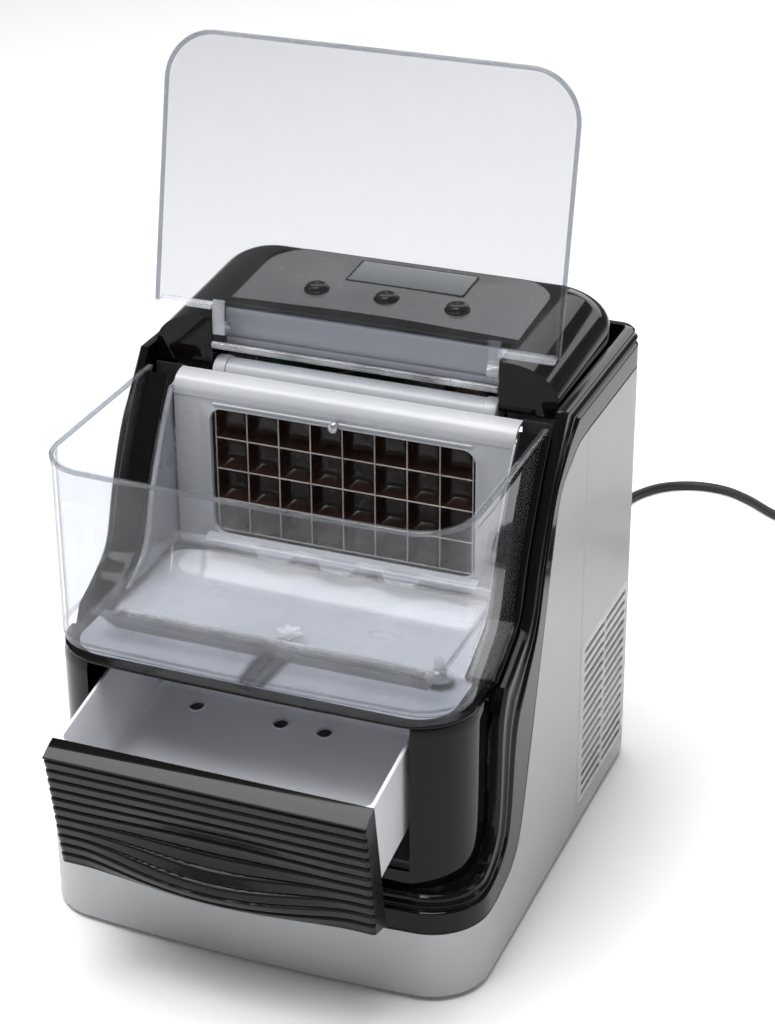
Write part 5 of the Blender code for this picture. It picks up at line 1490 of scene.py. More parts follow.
@dataclass
class Evaporator:
    """Cells, their dividers, the white surround with its hood and ledge, the bar and the probe.

    Attributes:
        pitch: Distance from cell to cell.
        columns: Cells across.
        rows: Cells up.
        opening: Radius of the opening's corners in the surround.
    """

    pitch: float = 22 * MM
    columns: int = 8
    rows: int = 4
    opening: float = 9 * MM

    def __post_init__(self) -> None:
        """Reads the places from the frame."""
        self.low, self.high = low_high("evaporator_grid")

    def pans(self) -> None:
        """A shallow dished pan in each cell, in the near-black painted shade finish: its depth is a flattened
        bell of the place in the cell.
        """
        half = self.pitch / 2 - 0.75 * MM
        n = 9
        s = np.linspace(-1, 1, n)
        u, v = np.meshgrid(s, s, indexing="xy")
        dish = (1 - u**6) * (1 - v**6)
        middle_z = self.high[2] - 0.6 * MM - self.pitch / 2
        i, j = np.meshgrid(np.arange(self.columns), np.arange(self.rows), indexing="xy")
        cx = ((i - (self.columns - 1) / 2) * self.pitch).reshape(-1, 1, 1)
        cz = (middle_z - j * self.pitch).reshape(-1, 1, 1)
        y = self.low[1] + 0.6 * MM + 9.5 * MM * dish**0.7
        grid = np.stack([cx + half * u, np.broadcast_to(y, (cx.shape[0], n, n)), cz + half * v], axis=-1)
        number = np.arange(n * n).reshape(n, n)
        quad = np.stack([number[:-1, :-1], number[:-1, 1:], number[1:, 1:], number[1:, :-1]], axis=-1)
        quads = quad.reshape(1, -1, 4) + (np.arange(len(cx)) * n * n)[:, None, None]
        front = Shape(grid.reshape(-1, 3), quads.reshape(-1, 4))
        back = Shape(front.points + [0, 0.5 * MM, 0], front.quads[:, ::-1])
        edge = np.r_[number[0], number[1:, -1], number[-1, -2::-1], number[-2::-1, 0]]
        edge = edge[None] + (np.arange(len(cx)) * n * n)[:, None]
        total = len(front.points)
        strip = np.stack([edge[:, 1:], edge[:, :-1], edge[:, :-1] + total, edge[:, 1:] + total], axis=-1)
        both = front + back
        both.quads = np.vstack([both.quads, strip.reshape(-1, 4)])
        build("cell_pans", both, CELL_SHADE, Body.HOUSING, sharp=60)

    def dividers(self) -> None:
        """Thin bars in front of the cell walls: light, slightly round fronts on each line of the grid."""
        half_x, top = self.high[0], self.high[2]
        y = self.low[1] - 0.1 * MM
        xs = np.linspace(-half_x + 0.6 * MM, half_x - 0.6 * MM, self.columns + 1)
        zs = np.linspace(self.low[2] + 0.6 * MM, top - 0.6 * MM, self.rows + 1)
        section = corner_loop(-0.5 * MM, -0.3 * MM, 0.5 * MM, 1.4 * MM, 0.3 * MM, 2, 3)
        shape = None
        for x in xs:
            loop = np.stack([np.broadcast_to(section[:, 0] + x, (2, len(section))),
                             np.broadcast_to(section[:, 1] + y, (2, len(section))),
                             np.broadcast_to(np.array([[self.low[2]], [top]]), (2, len(section)))], axis=-1)
            one = skin(loop, wrap=True, capped=True)
            shape = one if shape is None else shape + one
        for z in zs:
            loop = np.stack([np.broadcast_to(np.array([[-half_x], [half_x]]), (2, len(section))),
                             np.broadcast_to(section[:, 1] + y + 0.05 * MM, (2, len(section))),
                             np.broadcast_to(section[:, 0] + z, (2, len(section)))], axis=-1)
            shape = shape + skin(loop, wrap=True, capped=True)
        build("cell_dividers", shape, DIVIDER, Body.HOUSING, sharp=60)

    def surround(self) -> None:
        """White plate: rings of one outline from its outer edge over the front to the round opening."""
        low, high = low_high("evaporator_surround")
        face = low[1] + 0.2 * MM
        top = 306.0 * MM
        edge = 1.9 * MM
        outer = corner_loop(low[0], low[2], high[0], top, 3 * MM, 40, 10)
        hole = corner_loop(self.low[0] - edge, self.low[2] - edge, self.high[0] + edge, self.high[2] - 1 * MM,
                           self.opening, 40, 10)
        rows = [(outer, 2.4 * MM), (outer, 0.5 * MM), (outer * 0.997 + hole * 0.003, 0.0)]
        rows += [(outer * (1 - s) + hole * s, 0.0) for s in (0.3, 0.6, 0.9)]
        rows += [(outer * 0.04 + hole * 0.96, -0.9 * MM), (outer * 0.01 + hole * 0.99, -0.7 * MM),
                 (hole, 0.3 * MM), (hole, 2.7 * MM)]
        grid = np.stack([np.stack([line[:, 0], np.full(len(line), face + d), line[:, 1]], axis=1)
                         for line, d in rows])
        shape = skin(grid, wrap=True)
        back = skin(grid[[-1, 0]], wrap=True)
        build("surround_plate", shape + back, WHITE, Body.HOUSING, ("evaporator_surround",),
              sharp=50)
        y0 = self.low[1]
        outside = spline([(-3.2, 0), (-2.6, 5), (0.6, 9.6), (6, 12.2), (12, 12.8)], 6)
        inside = spline([(12, 10.9), (6.4, 10.3), (1.8, 8.0), (-1.0, 4.4), (-1.2, 0)], 6)
        loop = np.vstack([outside, inside]) * MM + [y0, self.high[2] + 5.4 * MM]
        build("surround_hood", extruded(loop, low[0], high[0], 8), WHITE, Body.HOUSING, sharp=50)
        rib = corner_loop(y0 - 4.0 * MM, 0.2995, y0 - 2.4 * MM, 0.3010, 0.6 * MM, 2, 4)
        build("surround_rib", extruded(rib, -0.088, 0.088, 2), WHITE, Body.HOUSING)

    def bulkheads(self) -> None:
        """Dark upright plate on each side, between the surround and the wall of the housing."""
        low, high = low_high("evaporator_surround")
        wall = low_high("ice_bin")[1][0]
        for side, word in ((-1, "left"), (1, "right")):
            near, far = sorted((side * (high[0] - 1 * MM), side * (wall + 0.5 * MM)))
            loop = corner_loop(high[1] + 1.5 * MM, low[2] - 2 * MM, high[1] + 2.5 * MM, high[2] - 0.3 * MM,
                               0.4 * MM, 2, 3)
            build(f"bulkhead_{word}", extruded(loop, near, far, 2), SATIN, Body.HOUSING)

    def ledge(self) -> None:
        """Sloping ledge: its front edge stands forward in three round tongues."""
        low, high = low_high("drip_ledge")
        x = np.linspace(low[0], high[0], 160)
        t = np.linspace(0, 1, 14)[:, None]
        tongue = sum(ease(14 * MM - np.abs(x - c * 44 * MM), 0, 5 * MM) for c in (-1, 0, 1))
        reach = 8 * MM + 4 * MM * tongue
        y = high[1] - t * reach
        z = self.low[2] - 0.8 * MM - 0.4 * (high[1] - y) - 1.2 * MM * ease(t, 0.8, 1.0) * tongue
        z = z + 0.8 * MM * bump_at(t, 0.5, 0.12) * (1 - tongue)
        grid = np.stack([np.broadcast_to(x, y.shape), y, z], axis=-1)
        build("ledge_skin", shell(grid, grid - [0, 0, 1.6 * MM]), WHITE, Body.HOUSING,
              ("drip_ledge",), sharp=50)

    def bar(self) -> None:
        """Round distributor with a collar at each end."""
        low, high = low_high("water_distributor")
        r, half = (high[2] - low[2]) / 2, high[0]
        run = [(0, -half), (r - 2.5 * MM, -half), (r - 0.6 * MM, -half + 0.8 * MM), (r, -half + 2 * MM),
               (r, -half + 9 * MM), (r - 1 * MM, -half + 9.6 * MM)]
        mirrored = [(a, -b) for a, b in run[::-1]]
        centre = (0, (low[1] + high[1]) / 2, (low[2] + high[2]) / 2)
        build("distributor_bar", turned(run + mirrored, centre, "X", 56), WHITE, Body.HOUSING,
              ("water_distributor",), sharp=32)

    def pin(self) -> None:
        """Bright probe with a round head in the middle of the surround."""
        low, high = low_high("ice_probe")
        run = [(0, 0), (1.6 * MM, 0.2 * MM), (3.0 * MM, 1.0 * MM), (3.4 * MM, 2.0 * MM), (3.4 * MM, 4.6 * MM),
               (2.6 * MM, 5.2 * MM), (1.6 * MM, 5.5 * MM), (1.6 * MM, 9 * MM)]
        build("probe_pin", turned(run, ((low[0] + high[0]) / 2, low[1], (low[2] + high[2]) / 2), "Y", 28),
              STEEL, Body.HOUSING, ("ice_probe",))

    def make(self) -> None:
        """Everything at the back of the bin."""
        self.pans()
        self.dividers()
        self.surround()
        self.bulkheads()
        self.ledge()
        self.bar()
        self.pin()
        # The grid and plate get the same painted shade as the pans.
        dress(CELL_SHADE, "evaporator_grid", "evaporator_plate")
        dress(COPPER, "evaporator_coil")


# ---------------------------------------------------------------- top cover, panel and lid


@dataclass
class TopCover:
    """Gloss black cover with the control panel, the display, the buttons and the face plate.

    Attributes:
        front_top: Height of its top at its front.
        back_top: Height of its top near its back.
        shoulder: Width and drop of its round shoulders.
        cheek: Width of the cheek on each side.
    """

    front_top: float = 350 * MM
    back_top: float = 358 * MM
    shoulder: tuple[float, float] = (34 * MM, 22 * MM)
    cheek: float = 39 * MM

    def __post_init__(self) -> None:
        """Reads the places from the frame."""
        low, high = low_high("top_cover")
        self.half, self.front, self.back, self.foot = high[0], low[1], high[1], low[2]
        self.face = self.front + 22 * MM
        self.slope = 1.25 * (self.back_top - self.front_top) / (self.back - self.front)

    def top(self, y: Array) -> Array:
        """Height of the crown: a slope that levels off and then falls as a quarter round at the back."""
        rise = np.minimum(1.0, 1.25 * (y - self.front) / (self.back - self.front))
        crown = self.front_top + (self.back_top - self.front_top) * rise
        left = np.clip((self.back - y) / (22 * MM), 0, 1)
        return crown - (crown - self.foot - 12 * MM) * (1 - np.sqrt(1 - (1 - left) ** 2))

    def sides(self, y: Array) -> Array:
        """Half width, rounded in plan at the rear corners."""
        corner = 34 * MM
        left = np.clip(self.back - y, 0, corner)
        return self.half - corner + np.sqrt(corner**2 - (corner - left) ** 2)

    def section(self, y: Array, inset: float, foot: float) -> Array:
        """Cross-sections at each y: upright sides, round shoulders and a level top."""
        half = (self.sides(y) - inset)[:, None]
        top = (self.top(np.minimum(y + inset, self.back)) - inset)[:, None]
        drop = np.minimum(self.shoulder[1], (top - self.foot) * 0.7)
        width = np.minimum(self.shoulder[0], half * 0.5)
        a = np.linspace(0, np.pi / 2, 18)[None]
        x = np.hstack([half, half - width + width * np.cos(a)])
        z = np.hstack([np.full_like(half, foot), top - drop + drop * np.sin(a)])
        x, z = np.hstack([x, -x[:, ::-1]]), np.hstack([z, z[:, ::-1]])
        return np.stack([x, np.broadcast_to(y[:, None], x.shape), z], axis=-1)

    def outline(self, inset: float = 0.0) -> Array:
        """Control panel seen from above: arched front edge, slightly arched back, round rear corners."""
        low, high = low_high("control_panel")
        half = high[0] - inset
        front, back, radius = low[1] + inset, high[1] - inset, 24 * MM - inset
        x = np.linspace(-half, half, 40)
        fore = np.stack([x, front + 3 * MM * (1 - (x / half) ** 2)], axis=1)
        arcs = []
        for cx, start in ((half - radius, 0), (-half + radius, 90)):
            a = np.radians(start + np.linspace(0, 90, 14))
            arcs.append(np.stack([cx + radius * np.cos(a), back - radius + radius * np.sin(a)], axis=1))
        return np.vstack([fore, *arcs])

    def slab(self, outline: Array, low: float, high: float, crown: float = 0.0) -> Shape:
        """A slab under an outline that follows the slope of the top.

        Args:
            outline: Rows of x and y.
            low: Its underside at the face plate.
            high: Its top there.
            crown: How much higher its middle is.

        Returns:
            The closed slab.
        """
        middle = outline.mean(axis=0)
        share = np.r_[0.0, 0.15, 0.35, 0.55, 0.75, 0.9, 0.97, 1.0][:, None, None]
        flat = middle + (outline - middle) * share
        lift = self.slope * (flat[..., 1] - self.face)
        dome = crown * (1 - (flat[..., 0] / np.abs(outline[:, 0]).max()) ** 2)
        up = np.concatenate([flat, (high + lift + dome)[..., None]], axis=-1)
        down = np.concatenate([flat, (low + lift)[..., None]], axis=-1)
        rim = skin(np.stack([up[-1], down[-1]]), wrap=True)
        return skin(up, wrap=True) + skin(down[::-1], wrap=True) + rim

    def cover(self) -> None:
        """The loft, less its hollow, the gap between the cheeks, the pocket and the hinge holes."""
        y = np.r_[np.linspace(self.front, self.back - 36 * MM, 26), self.back - 36 * MM + 35.9 * MM * np.sin(
            np.linspace(0, np.pi / 2, 26)[1:])]
        made = build("cover_shell", skin(self.section(y, 0.0, self.foot), wrap=True, capped=True), GLOSS,
                     Body.HOUSING, ("top_cover",), sharp=40)
        y = np.linspace(self.face + 4 * MM, self.back - 4 * MM, 20)
        hollow = skin(self.section(y, 3.6 * MM, self.foot - 20 * MM), wrap=True, capped=True)
        half = self.half - self.cheek
        gap = extruded(corner_loop(self.front - 9 * MM, self.foot - 9 * MM, self.face + 1.8 * MM, 0.4,
                                   0.5 * MM, 2, 3), -half, half)
        level = self.front_top - 2.6 * MM
        pocket = self.slab(self.outline(-0.3 * MM), level, level + 30 * MM)
        window = self.slab(self.outline(5 * MM), level - 30 * MM, level + 9 * MM)
        hinge = low_high("lid_pin_left")
        centre = (0, (hinge[0][1] + hinge[1][1]) / 2, (hinge[0][2] + hinge[1][2]) / 2)
        pin = turned([(2.3 * MM, -0.1095), (2.3 * MM, 0.1095)], centre, "X", 24)
        carved(made, [hollow, gap, pocket, window, pin])
        made.data.shade_smooth()
        made.data.set_sharp_from_angle(angle=math.radians(38))

    def panel(self) -> None:
        """Crowned satin panel with a window for the display and holes for the buttons."""
        level = self.front_top - 2.3 * MM
        made = build("panel_skin", self.slab(self.outline(), level, self.front_top, 2.2 * MM), PANEL,
                     Body.HOUSING, ("control_panel",), sharp=40)
        glass = low_high("display_glass")
        tools = [extruded(corner_loop(glass[0][1] - 0.3 * MM, 0.3, glass[1][1] + 0.3 * MM, 0.4, 1 * MM, 2, 4),
                          glass[0][0] - 0.3 * MM, glass[1][0] + 0.3 * MM)]
        for name in ("button_left", "button_middle", "button_right"):
            low, high = low_high(name)
            centre = ((low[0] + high[0]) / 2, (low[1] + high[1]) / 2, low[2])
            r = (high[0] - low[0]) / 2 + 0.9 * MM
            tools.append(turned([(r, -0.02), (r, 0.03)], centre, "Z", 40))
        carved(made, tools)
        made.data.shade_smooth()
        made.data.set_sharp_from_angle(angle=math.radians(38))
        edge = self.outline(-0.5 * MM)
        lift = self.front_top + self.slope * (edge[:, 1] - self.face) + 0.2 * MM
        rim = np.column_stack([edge, lift])
        rim = evenly(np.vstack([rim, rim[:1]]), 160)
        build("panel_rim", tube(rim, 0.8 * MM, 10), GLOSS, Body.HOUSING, sharp=80)

    def display(self) -> None:
        """Flat glass a little above the module, with a pale bezel line at its rear."""
        low, high = low_high("display_glass")
        outline = corner_loop(low[0], low[1], high[0], high[1], 0.8 * MM, 4, 5)
        lift = 2.0 * MM
        glass = self.slab(outline, self.front_top - 2.3 * MM, self.front_top + lift)
        build("display_screen", glass, SCREEN, Body.HOUSING, ("display_glass",), sharp=30)
        y = np.full(12, high[1] - 0.7 * MM)
        z = self.front_top + lift + self.slope * (y - self.face)
        run = np.column_stack([np.linspace(low[0] + 1 * MM, high[0] - 1 * MM, 12), y, z])
        build("display_bezel", tube(run, 0.5 * MM, 8), DIVIDER, Body.HOUSING, sharp=80)
        frame = np.vstack([outline, outline[:1]])
        lift = self.front_top + 2.1 * MM + self.slope * (frame[:, 1] - self.face)
        loop = evenly(np.column_stack([frame, lift]), 120)
        build("display_frame", tube(loop, 0.7 * MM, 8), GLOSS, Body.HOUSING, sharp=80)
        softened("display_module", BOARD, Body.HOUSING, 0.2 * MM)

    def buttons(self) -> None:
        """Glossy domes that stand in gloss black rings."""
        for word in ("left", "middle", "right"):
            low, high = low_high(f"button_{word}")
            x, y = (low[0] + high[0]) / 2, (low[1] + high[1]) / 2
            r, tall = (high[0] - low[0]) / 2, high[2] - low[2]
            a = np.linspace(0, 1, 16)
            dome = np.stack([(r - 0.2 * MM) * np.cos(a * np.pi / 2) ** 0.7,
                             tall - 2.2 * MM + 2.6 * MM * np.sin(a * np.pi / 2)], axis=1)
            dish = np.array([(0, tall - 0.1 * MM)])
            run = np.vstack([[(r - 0.2 * MM, 0)], dome[:-1], dish])
            build(f"button_dome_{word}", turned(run, (x, y, low[2]), "Z", 44), GLOSS,
                  Body[f"BUTTON_{word.upper()}"],
                  (f"button_{word}",), sharp=50)
            z = self.front_top + self.slope * (y - self.face) + 1.7 * MM
            ring = [(r + 0.1 * MM, -3 * MM), (r + 0.1 * MM, 0.7 * MM), (r + 0.4 * MM, 1.0 * MM),
                    (r + 0.8 * MM, 0.7 * MM), (r + 0.8 * MM, -3 * MM)]
            angle = np.linspace(0, 2 * np.pi, 44, endpoint=False)
            pairs = np.array(ring + ring[:1])
            grid = np.stack([x + pairs[:, :1] * np.cos(angle), y + pairs[:, :1] * np.sin(angle),
                             z + pairs[:, 1:] + 0 * angle], axis=-1)
            build(f"button_ring_{word}", skin(grid, wrap=True), GLOSS, Body.HOUSING, sharp=50)

    def plate(self) -> None:
        """Grey plate between the cheeks: a shallow arch across its height with two fold lines."""
        low, high = low_high("face_plate")
        x = np.linspace(low[0], high[0], 60)
        t = np.linspace(0, 1, 24)[:, None]
        z = low[2] + t * (high[2] - low[2]) - 0.8 * MM * (x / high[0]) ** 2 * t
        y = low[1] + 0.2 * MM + 0.7 * MM * bump_at(t, 0.18, 0.03) + 0.6 * MM * ease(t, 0.9, 1.0)
        grid = np.stack([np.broadcast_to(x, z.shape), np.broadcast_to(y, z.shape), z], axis=-1)
        build("face_plate_skin", shell(grid, grid + [0, 1.2 * MM, 0]), FACE, Body.HOUSING,
              ("face_plate",), sharp=50)

    def make(self) -> None:
        """Cover, panel, display, buttons and plate."""
        self.cover()
        self.panel()
        self.display()
        self.buttons()
        self.plate()


@dataclass
class Lid:
    """Clear lid, open: a sheet with a turned edge, a bent tail, knuckles and a bar along its foot.

    Attributes:
        lean: How far it leans back.
        length: Length of the sheet.
        start: Distance from the hinge to the sheet.
        radius: Radius of its free corners.
        wall: Thickness.
        ahead: How far the sheet is in front of the hinge line.
        tail: Half width of the tail.
    """

    lean: float = math.radians(11.5)
    length: float = 172.5 * MM
    start: float = 16 * MM
    radius: float = 32 * MM
    wall: float = 2.6 * MM
    ahead: float = 6.5 * MM
    tail: float = 96.8 * MM

    def __post_init__(self) -> None:
        """Reads the hinge line from the frame."""
        low, high = low_high("lid_pin_left")
        self.hinge = np.array([0, (low[1] + high[1]) / 2, (low[2] + high[2]) / 2])
        self.half = low_high("lid")[1][0]

    def stand(self, shape: Shape) -> Shape:
        """Carries a shape from the hinge's own frame to the open lid."""
        shape.points = about_x(shape.points + self.hinge, self.hinge, -self.lean)
        return shape

    def sheet(self) -> None:
        """Half width falls off as a quarter round at the free corners; the edge turns forward a little."""
        u = np.sin(np.linspace(-1, 1, 101) * np.pi / 2)
        t = np.r_[np.linspace(0, 0.72, 40)[:-1], 0.72 + 0.28 * np.sin(np.linspace(0, 1, 44) * np.pi / 2)]
        z = self.start + t * self.length
        over = np.clip(z - (self.start + self.length - self.radius), 0, self.radius)
        half = self.half - self.radius + np.sqrt(np.maximum(self.radius**2 - over**2, 0))
        x = half[:, None] * u
        zz = np.broadcast_to(z[:, None], x.shape)
        side = half[:, None] - np.abs(x)
        corner = np.hypot(np.maximum(np.abs(x) - (self.half - self.radius), 0),
                          np.maximum(zz - (self.start + self.length - self.radius), 0))
        gap = np.minimum(np.minimum(side, self.start + self.length - zz), self.radius - corner)
        gap = np.maximum(gap, 0)
        turn = 3.2 * MM * (1 - ease(gap, 0, 4.5 * MM))
        bow = 1.2 * MM * (1 - (x / self.half) ** 2)
        y = -self.ahead - self.wall / 2 - turn + bow
        outer = np.stack([x, y, zz], axis=-1)
        shape = shell(outer, outer + [0, self.wall * 0.85, 0])
        build("lid_sheet", self.stand(shape), CLEAR_LID, Body.LID, ("lid",), sharp=60)
        edge = np.vstack([np.column_stack([half, z]), np.column_stack([-half[::-1], z[::-1]])])
        edge = evenly(edge, 220)
        ahead = np.full(len(edge), -self.ahead - 3.4 * MM)
        bead = np.column_stack([edge[:, 0] * 0.994, ahead, edge[:, 1] - 1e-3])
        build("lid_edge", self.stand(tube(bead, 1.5 * MM, 10)), CLEAR_EDGE, Body.LID, sharp=80)

    def foot(self) -> None:
        """Small bent ledge at each lower corner, and the tail between the cheeks with its bar."""
        bend = spline([(-self.ahead, self.start + 3 * MM), (-6.0 * MM, self.start - 4 * MM),
                       (-4.5 * MM, 5 * MM), (-3.6 * MM, -2 * MM), (-5 * MM, -10 * MM)], 8)
        x = np.linspace(-self.tail, self.tail, 40)
        y = np.broadcast_to(bend[:, :1], (len(bend), 40))
        z = np.broadcast_to(bend[:, 1:], y.shape)
        grid = np.stack([np.broadcast_to(x, y.shape), y, z], axis=-1)
        build("lid_tail", self.stand(thick(grid, 2.2 * MM)), CLEAR_LID, Body.LID, sharp=50)
        run = np.column_stack([np.linspace(-self.tail, self.tail, 30), np.full(30, -5 * MM),
                               np.full(30, -10 * MM)])
        build("lid_bar", self.stand(tube(run, 2.4 * MM, 16)), FROSTED, Body.LID)
        for side in (-1, 1):
            word = "left" if side < 0 else "right"
            x = np.linspace(self.tail, self.half - 3 * MM, 14) * side
            t = np.linspace(0, 1, 12)[:, None]
            y = -self.ahead + 1 * MM - 6 * MM * t + 0 * x
            z = self.start + 0.4 * MM - 2.4 * MM * np.sin(t * np.pi / 2) + 0 * x
            grid = np.stack([np.broadcast_to(x, y.shape), y, z], axis=-1)
            build(f"lid_ledge_{word}", self.stand(thick(grid, 2.4 * MM)), FROSTED, Body.LID)
            hook = np.radians(np.linspace(-60, 215, 30))
            ends = np.stack([5 * MM * np.cos(hook), 5 * MM * np.sin(hook)], axis=1)
            lead = spline([(-self.ahead, self.start + 4 * MM), (-6.4 * MM, self.start - 5 * MM),
                           tuple(ends[-1])], 6)
            line = np.vstack([lead[:-1], ends[::-1]])
            xs = np.linspace(self.tail - 8 * MM, self.tail, 5) * side
            grid = np.stack(np.broadcast_arrays(xs, line[:, :1], line[:, 1:]), axis=-1)
            build(f"lid_knuckle_{word}", self.stand(thick(grid, 1.9 * MM)), FROSTED, Body.LID)

    def make(self) -> None:
        """Sheet, edge, tail, ledges and knuckles; the pins stay bright steel."""
        self.sheet()
        self.foot()
        dress(STEEL, "lid_pin_left", "lid_pin_right")


# ---------------------------------------------------------------- drawer


@dataclass
class Drawer:
    """Ribbed front and white tub, tipped forward on its pins.

    Attributes:
        tilt: How far it tips when it is out.
        width: Width of the front.
        height: Height of the front.
        deep: Thickness of the front.
        lean: How much thicker it is at its foot.
        lip: How far the finger grip stands forward.
        slope: Fall of its top face.
        ribs: How many ribs it has.
        back: Distance from the pins to the back of the front.
        up: Height of the pins over the underside of the tub.
    """

    tilt: float = math.radians(10.4)
    width: float = 208 * MM
    height: float = 95 * MM
    deep: float = 14.5 * MM
    lean: float = 1.7 * MM
    lip: float = 9 * MM
    slope: float = 3.7 * MM
    ribs: int = 11
    back: float = 125 * MM
    up: float = 8 * MM

    def __post_init__(self) -> None:
        """Reads the pins from the frame."""
        low, high = low_high("drawer_slider_left")
        self.pivot = np.array([0, (low[1] + high[1]) / 2, (low[2] + high[2]) / 2])

    def tip(self, shape: Shape) -> Shape:
        """Carries a shape from the pins' own frame to the open drawer."""
        shape.points = about_x(shape.points + self.pivot, self.pivot, self.tilt)
        return shape

    def face(self, x: Array, up: Array) -> Array:
        """How far the front stands ahead of its back: a lip bell less a grip bell, fading to the ends."""
        across = np.maximum(0, 1 - (x / (self.width * 0.42)) ** 2) ** 1.5
        lip = bump_at(up, 0.17 * self.height, 0.13 * self.height)
        grip = bump_at(up, 0.48 * self.height, 0.15 * self.height)
        return self.deep + self.lean * (1 - up / self.height) + across * self.lip * (lip - 0.45 * grip)

    def front(self) -> None:
        """Ribs run level at the top and sink towards the lip; each rib leans out over a narrow groove."""
        half, top = self.width / 2, self.height - self.slope
        u = np.linspace(-1, 1, 121)[None, :]
        v = np.linspace(0, 1, 200)[:, None]
        x = half * u
        foot = 7.0 * MM
        up = foot + v * (top - foot) + 0 * x
        across = np.maximum(0, 1 - (x / (self.width * 0.44)) ** 2) ** 1.6
        sink = 6.5 * MM * across * bump_at(up, 0.30 * self.height, 0.24 * self.height)
        phase = (up + sink - foot) / (top - foot - 1.5 * MM) * self.ribs
        part = np.mod(phase, 1.0)
        groove = np.maximum(bump_at(part, 0.0, 0.085), bump_at(part, 1.0, 0.085))
        groove = groove * (phase < self.ribs + 0.2) * ease(phase, 0.2, 0.5)
        depth = self.face(x, up) - 1.7 * MM * groove - 0.9 * MM * (0.5 - part) * (groove < 0.9) * (
            phase < self.ribs) * ease(part, 0.0, 0.25) * (1 - ease(part, 0.8, 1.0))
        ends = 1.0 * MM * ease(np.abs(u), 0.985, 1.0)
        y = -(depth - ends)
        sag = -1.8 * MM * across * (1 - ease(v, 0, 0.12))
        grid = np.stack([np.broadcast_to(x, up.shape), y, up + sag], axis=-1)
        # The pattern's second number marks the grooves, which the ribbed finish fills with painted shade.
        pattern = np.stack([phase, 1 - groove], axis=-1)
        behind = grid.copy()
        behind[..., 1] = 0
        behind[..., 2] = v * self.height + 0 * x
        shape = shell(grid, behind, pattern=pattern)
        shape.points = shape.points - [0, self.back, 32 * MM + self.up]
        build("drawer_face", self.tip(shape), RIBBED, Body.DRAWER, ("drawer_front",), sharp=42)
        x = np.linspace(-half, half, 60)
        t = np.linspace(0, 1, 10)[:, None]
        reach = self.face(x, np.full_like(x, top))[None, :]
        y = -reach * (1 - t) - 0.1 * MM
        z = top + 0.3 * MM + self.slope * t + 0.5 * MM * np.sin(t * np.pi) + 0 * x
        cap = np.stack([np.broadcast_to(x, y.shape), y, z], axis=-1)
        shape = shell(cap, cap - [0, 0, 0.9 * MM])
        shape.points = shape.points - [0, self.back, 32 * MM + self.up]
        build("drawer_cap", self.tip(shape), GLOSS, Body.DRAWER, sharp=40)
        edge = np.column_stack([x, -self.face(x, np.full_like(x, top)) + 0.1 * MM,
                                np.full_like(x, top + 0.2 * MM)])
        shape = tube(edge - [0, self.back, 32 * MM + self.up], 0.6 * MM, 8)
        build("drawer_edge", self.tip(shape), GLOSS, Body.DRAWER, sharp=80)

    def tub(self) -> None:
        """Open tub with round inner corners and a rolled rim, three drain holes in its floor."""
        low = np.array([-self.width / 2 + 2 * MM, -self.back + 0.3 * MM, -self.up])
        high = np.array([self.width / 2 - 2 * MM, -self.back + 131 * MM, 61 * MM - self.up])
        wall, floor = 2 * MM, -self.up + 2 * MM

        def ring(inset: float, radius: float) -> Array:
            """Outline of the tub seen from above, moved inwards."""
            return corner_loop(low[0] + inset, low[1] + inset, high[0] - inset, high[1] - inset, radius,
                               24, 10)

        a = np.linspace(0, np.pi / 2, 9)
        rows = [(ring(2.5 * MM, 3 * MM), -self.up), (ring(0.4 * MM, 4.5 * MM), -self.up + 2.2 * MM)]
        rows += [(ring(0.2 * MM, 4.5 * MM), h) for h in (0.0, 0.02, high[2] - 2.6 * MM)]
        rows += [(ring(-0.5 * MM, 5 * MM), high[2] - 2.2 * MM), (ring(-0.5 * MM, 5 * MM), high[2] - 0.4 * MM),
                 (ring(0.0, 5 * MM), high[2]), (ring(wall - 0.4 * MM, 5 * MM), high[2]),
                 (ring(wall, 5 * MM), high[2] - 0.5 * MM)]
        rows += [(ring(wall + 0.3 * MM, 5 * MM), 0.02), (ring(wall + 0.5 * MM, 5 * MM), floor + 5 * MM)]
        rows += [(ring(wall + 0.5 * MM + 5 * MM * (1 - math.cos(b)), 5.5 * MM),
                  floor + 5 * MM * (1 - math.sin(b))) for b in a[1:]]
        grid = np.stack([np.column_stack([line, np.full(len(line), h)]) for line, h in rows])
        middle = np.array([[0, (low[1] + high[1]) / 2]])
        share = np.array([0.75, 0.5, 0.25, 0.02])[:, None, None]
        inner = grid[-1][None, :, :2] * share + middle * (1 - share)
        inner = np.concatenate([inner, np.full((*inner.shape[:2], 1), floor)], axis=-1)
        shape = skin(np.concatenate([grid, inner]), wrap=True, capped=True)
        made = build("drawer_bin", self.tip(shape), TUB, Body.DRAWER, ("drawer_tub",), sharp=40)
        tools = []
        for x in (-69 * MM, -10 * MM, 20 * MM):
            tools.append(self.tip(turned([(5 * MM, -0.009), (5 * MM, 0.009)],
                                         (x, high[1] - 18 * MM, -self.up), "Z", 36)))
        tools.append(self.tip(turned([(3.3 * MM, -0.2), (3.3 * MM, 0.2)], (0, 0, 0), "X", 28)))
        carved(made, tools)
        made.data.shade_smooth()
        made.data.set_sharp_from_angle(angle=math.radians(40))
        run = [(5.0 * MM, 2.0 * MM), (5.0 * MM, 2.7 * MM), (5.5 * MM, 3.0 * MM), (6.1 * MM, 2.6 * MM),
               (6.3 * MM, 2.0 * MM), (5.0 * MM, 2.0 * MM)]
        angle = np.linspace(0, 2 * np.pi, 36, endpoint=False)
        pairs = np.array(run)
        shape = None
        for x in (-69 * MM, -10 * MM, 20 * MM):
            ring_grid = np.stack([x + pairs[:, :1] * np.cos(angle), high[1] - 18 * MM + pairs[:, :1] * np.sin(
                angle), -self.up + pairs[:, 1:] + 0 * angle], axis=-1)
            one = skin(ring_grid, wrap=True)
            shape = one if shape is None else shape + one
        build("drawer_hole_rims", self.tip(shape), TUB, Body.DRAWER)

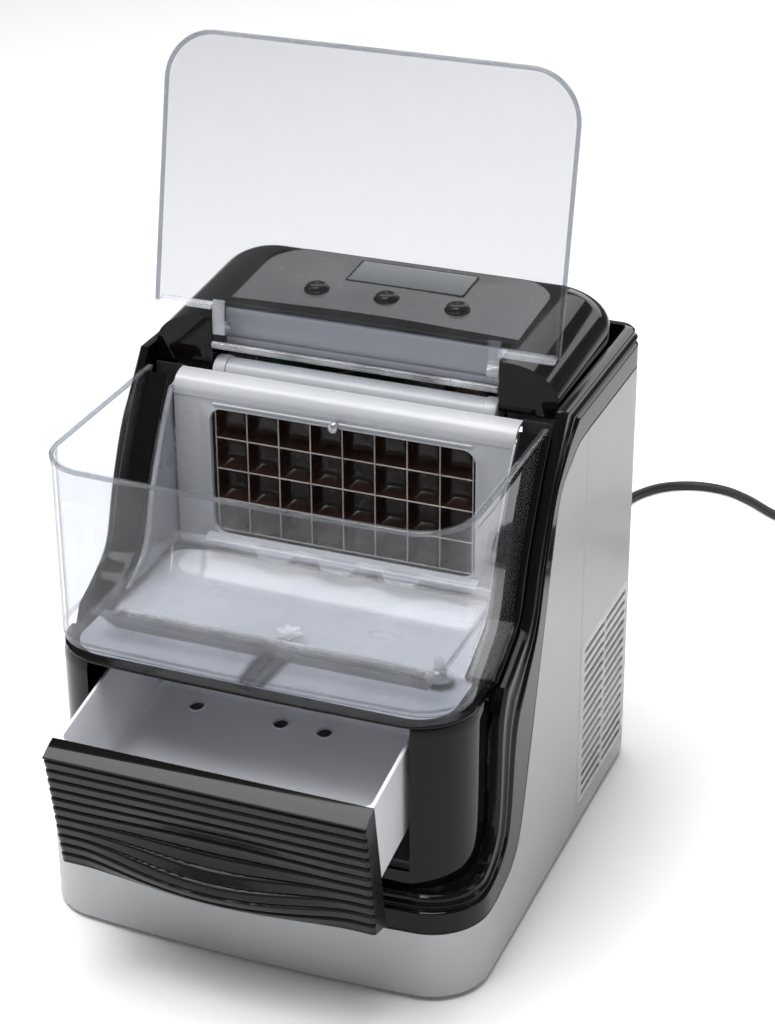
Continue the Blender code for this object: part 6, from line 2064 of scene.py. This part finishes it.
    def make(self) -> None:
        """Front, tub, sliders and guides."""
        self.front()
        self.tub()
        for word in ("left", "right"):
            softened(f"drawer_slider_{word}", WHITE, Body.CARRIAGE, 0.4 * MM)
            softened(f"drawer_guide_{word}", GREY, Body.HOUSING, 0.3 * MM)


# ---------------------------------------------------------------- inside


@dataclass
class Inside:
    """Cooling circuit, tank, pump, fan and board, seen through the slots and from below."""

    def make(self) -> None:
        """Round and dress what the casing hides."""
        softened("compressor", LACQUER, Body.HOUSING, 0.6 * MM)
        softened("water_tank", WHITE, Body.HOUSING, 0.6 * MM)
        softened("water_pump", SATIN, Body.HOUSING, 0.4 * MM)
        softened("fan_shroud", SATIN, Body.HOUSING, 0.4 * MM)
        softened("fan_rotor", SATIN, Body.FAN, 0.2 * MM)
        softened("fan_motor", STEEL, Body.HOUSING, 0.3 * MM)
        softened("control_board", BOARD, Body.HOUSING, 0.2 * MM)
        softened("drain_spout", WHITE, Body.HOUSING, 0.3 * MM)
        softened("drain_plug", RUBBER, Body.STOPPER, 0.3 * MM)
        softened("filter_drier", COPPER, Body.HOUSING, 0.3 * MM)
        for name in ("discharge_line", "liquid_line", "suction_line"):
            softened(name, COPPER, Body.HOUSING, 0.0, 50.0)
        softened("water_hose", RUBBER, Body.HOUSING, 0.0, 50.0)
        self.fins()

    def fins(self) -> None:
        """Thin level fins over the condenser's tubes: one plate repeated up its height."""
        low, high = low_high("condenser")
        levels = np.linspace(low[2] + 0.5 * MM, high[2] - 0.5 * MM, 44)
        corners = np.array([(low[0], low[1]), (high[0], low[1]), (high[0], high[1]), (low[0], high[1])])
        shape = None
        for z in levels:
            slab = np.stack([np.column_stack([corners, np.full(4, z)]),
                             np.column_stack([corners, np.full(4, z + 0.4 * MM)])])
            one = skin(slab, wrap=True, capped=True)
            shape = one if shape is None else shape + one
        build("condenser_fins", shape, ALUMINIUM, Body.HOUSING)
        dress(COPPER, "condenser")


def main() -> None:
    """Builds everything in order: camera and cord first, then the machine from the outside in."""
    logging.basicConfig(level=logging.INFO, format="%(name)s %(message)s")
    studio = Studio()
    studio.camera()
    MainsLead().make()
    studio.floor()
    studio.light()
    casing = Casing()
    casing.make()
    trim = Trim(casing)
    trim.make()
    IceBin(trim).make()
    Evaporator().make()
    TopCover().make()
    Lid().make()
    Drawer().make()
    Inside().make()


if __name__ == "__main__":
    main()
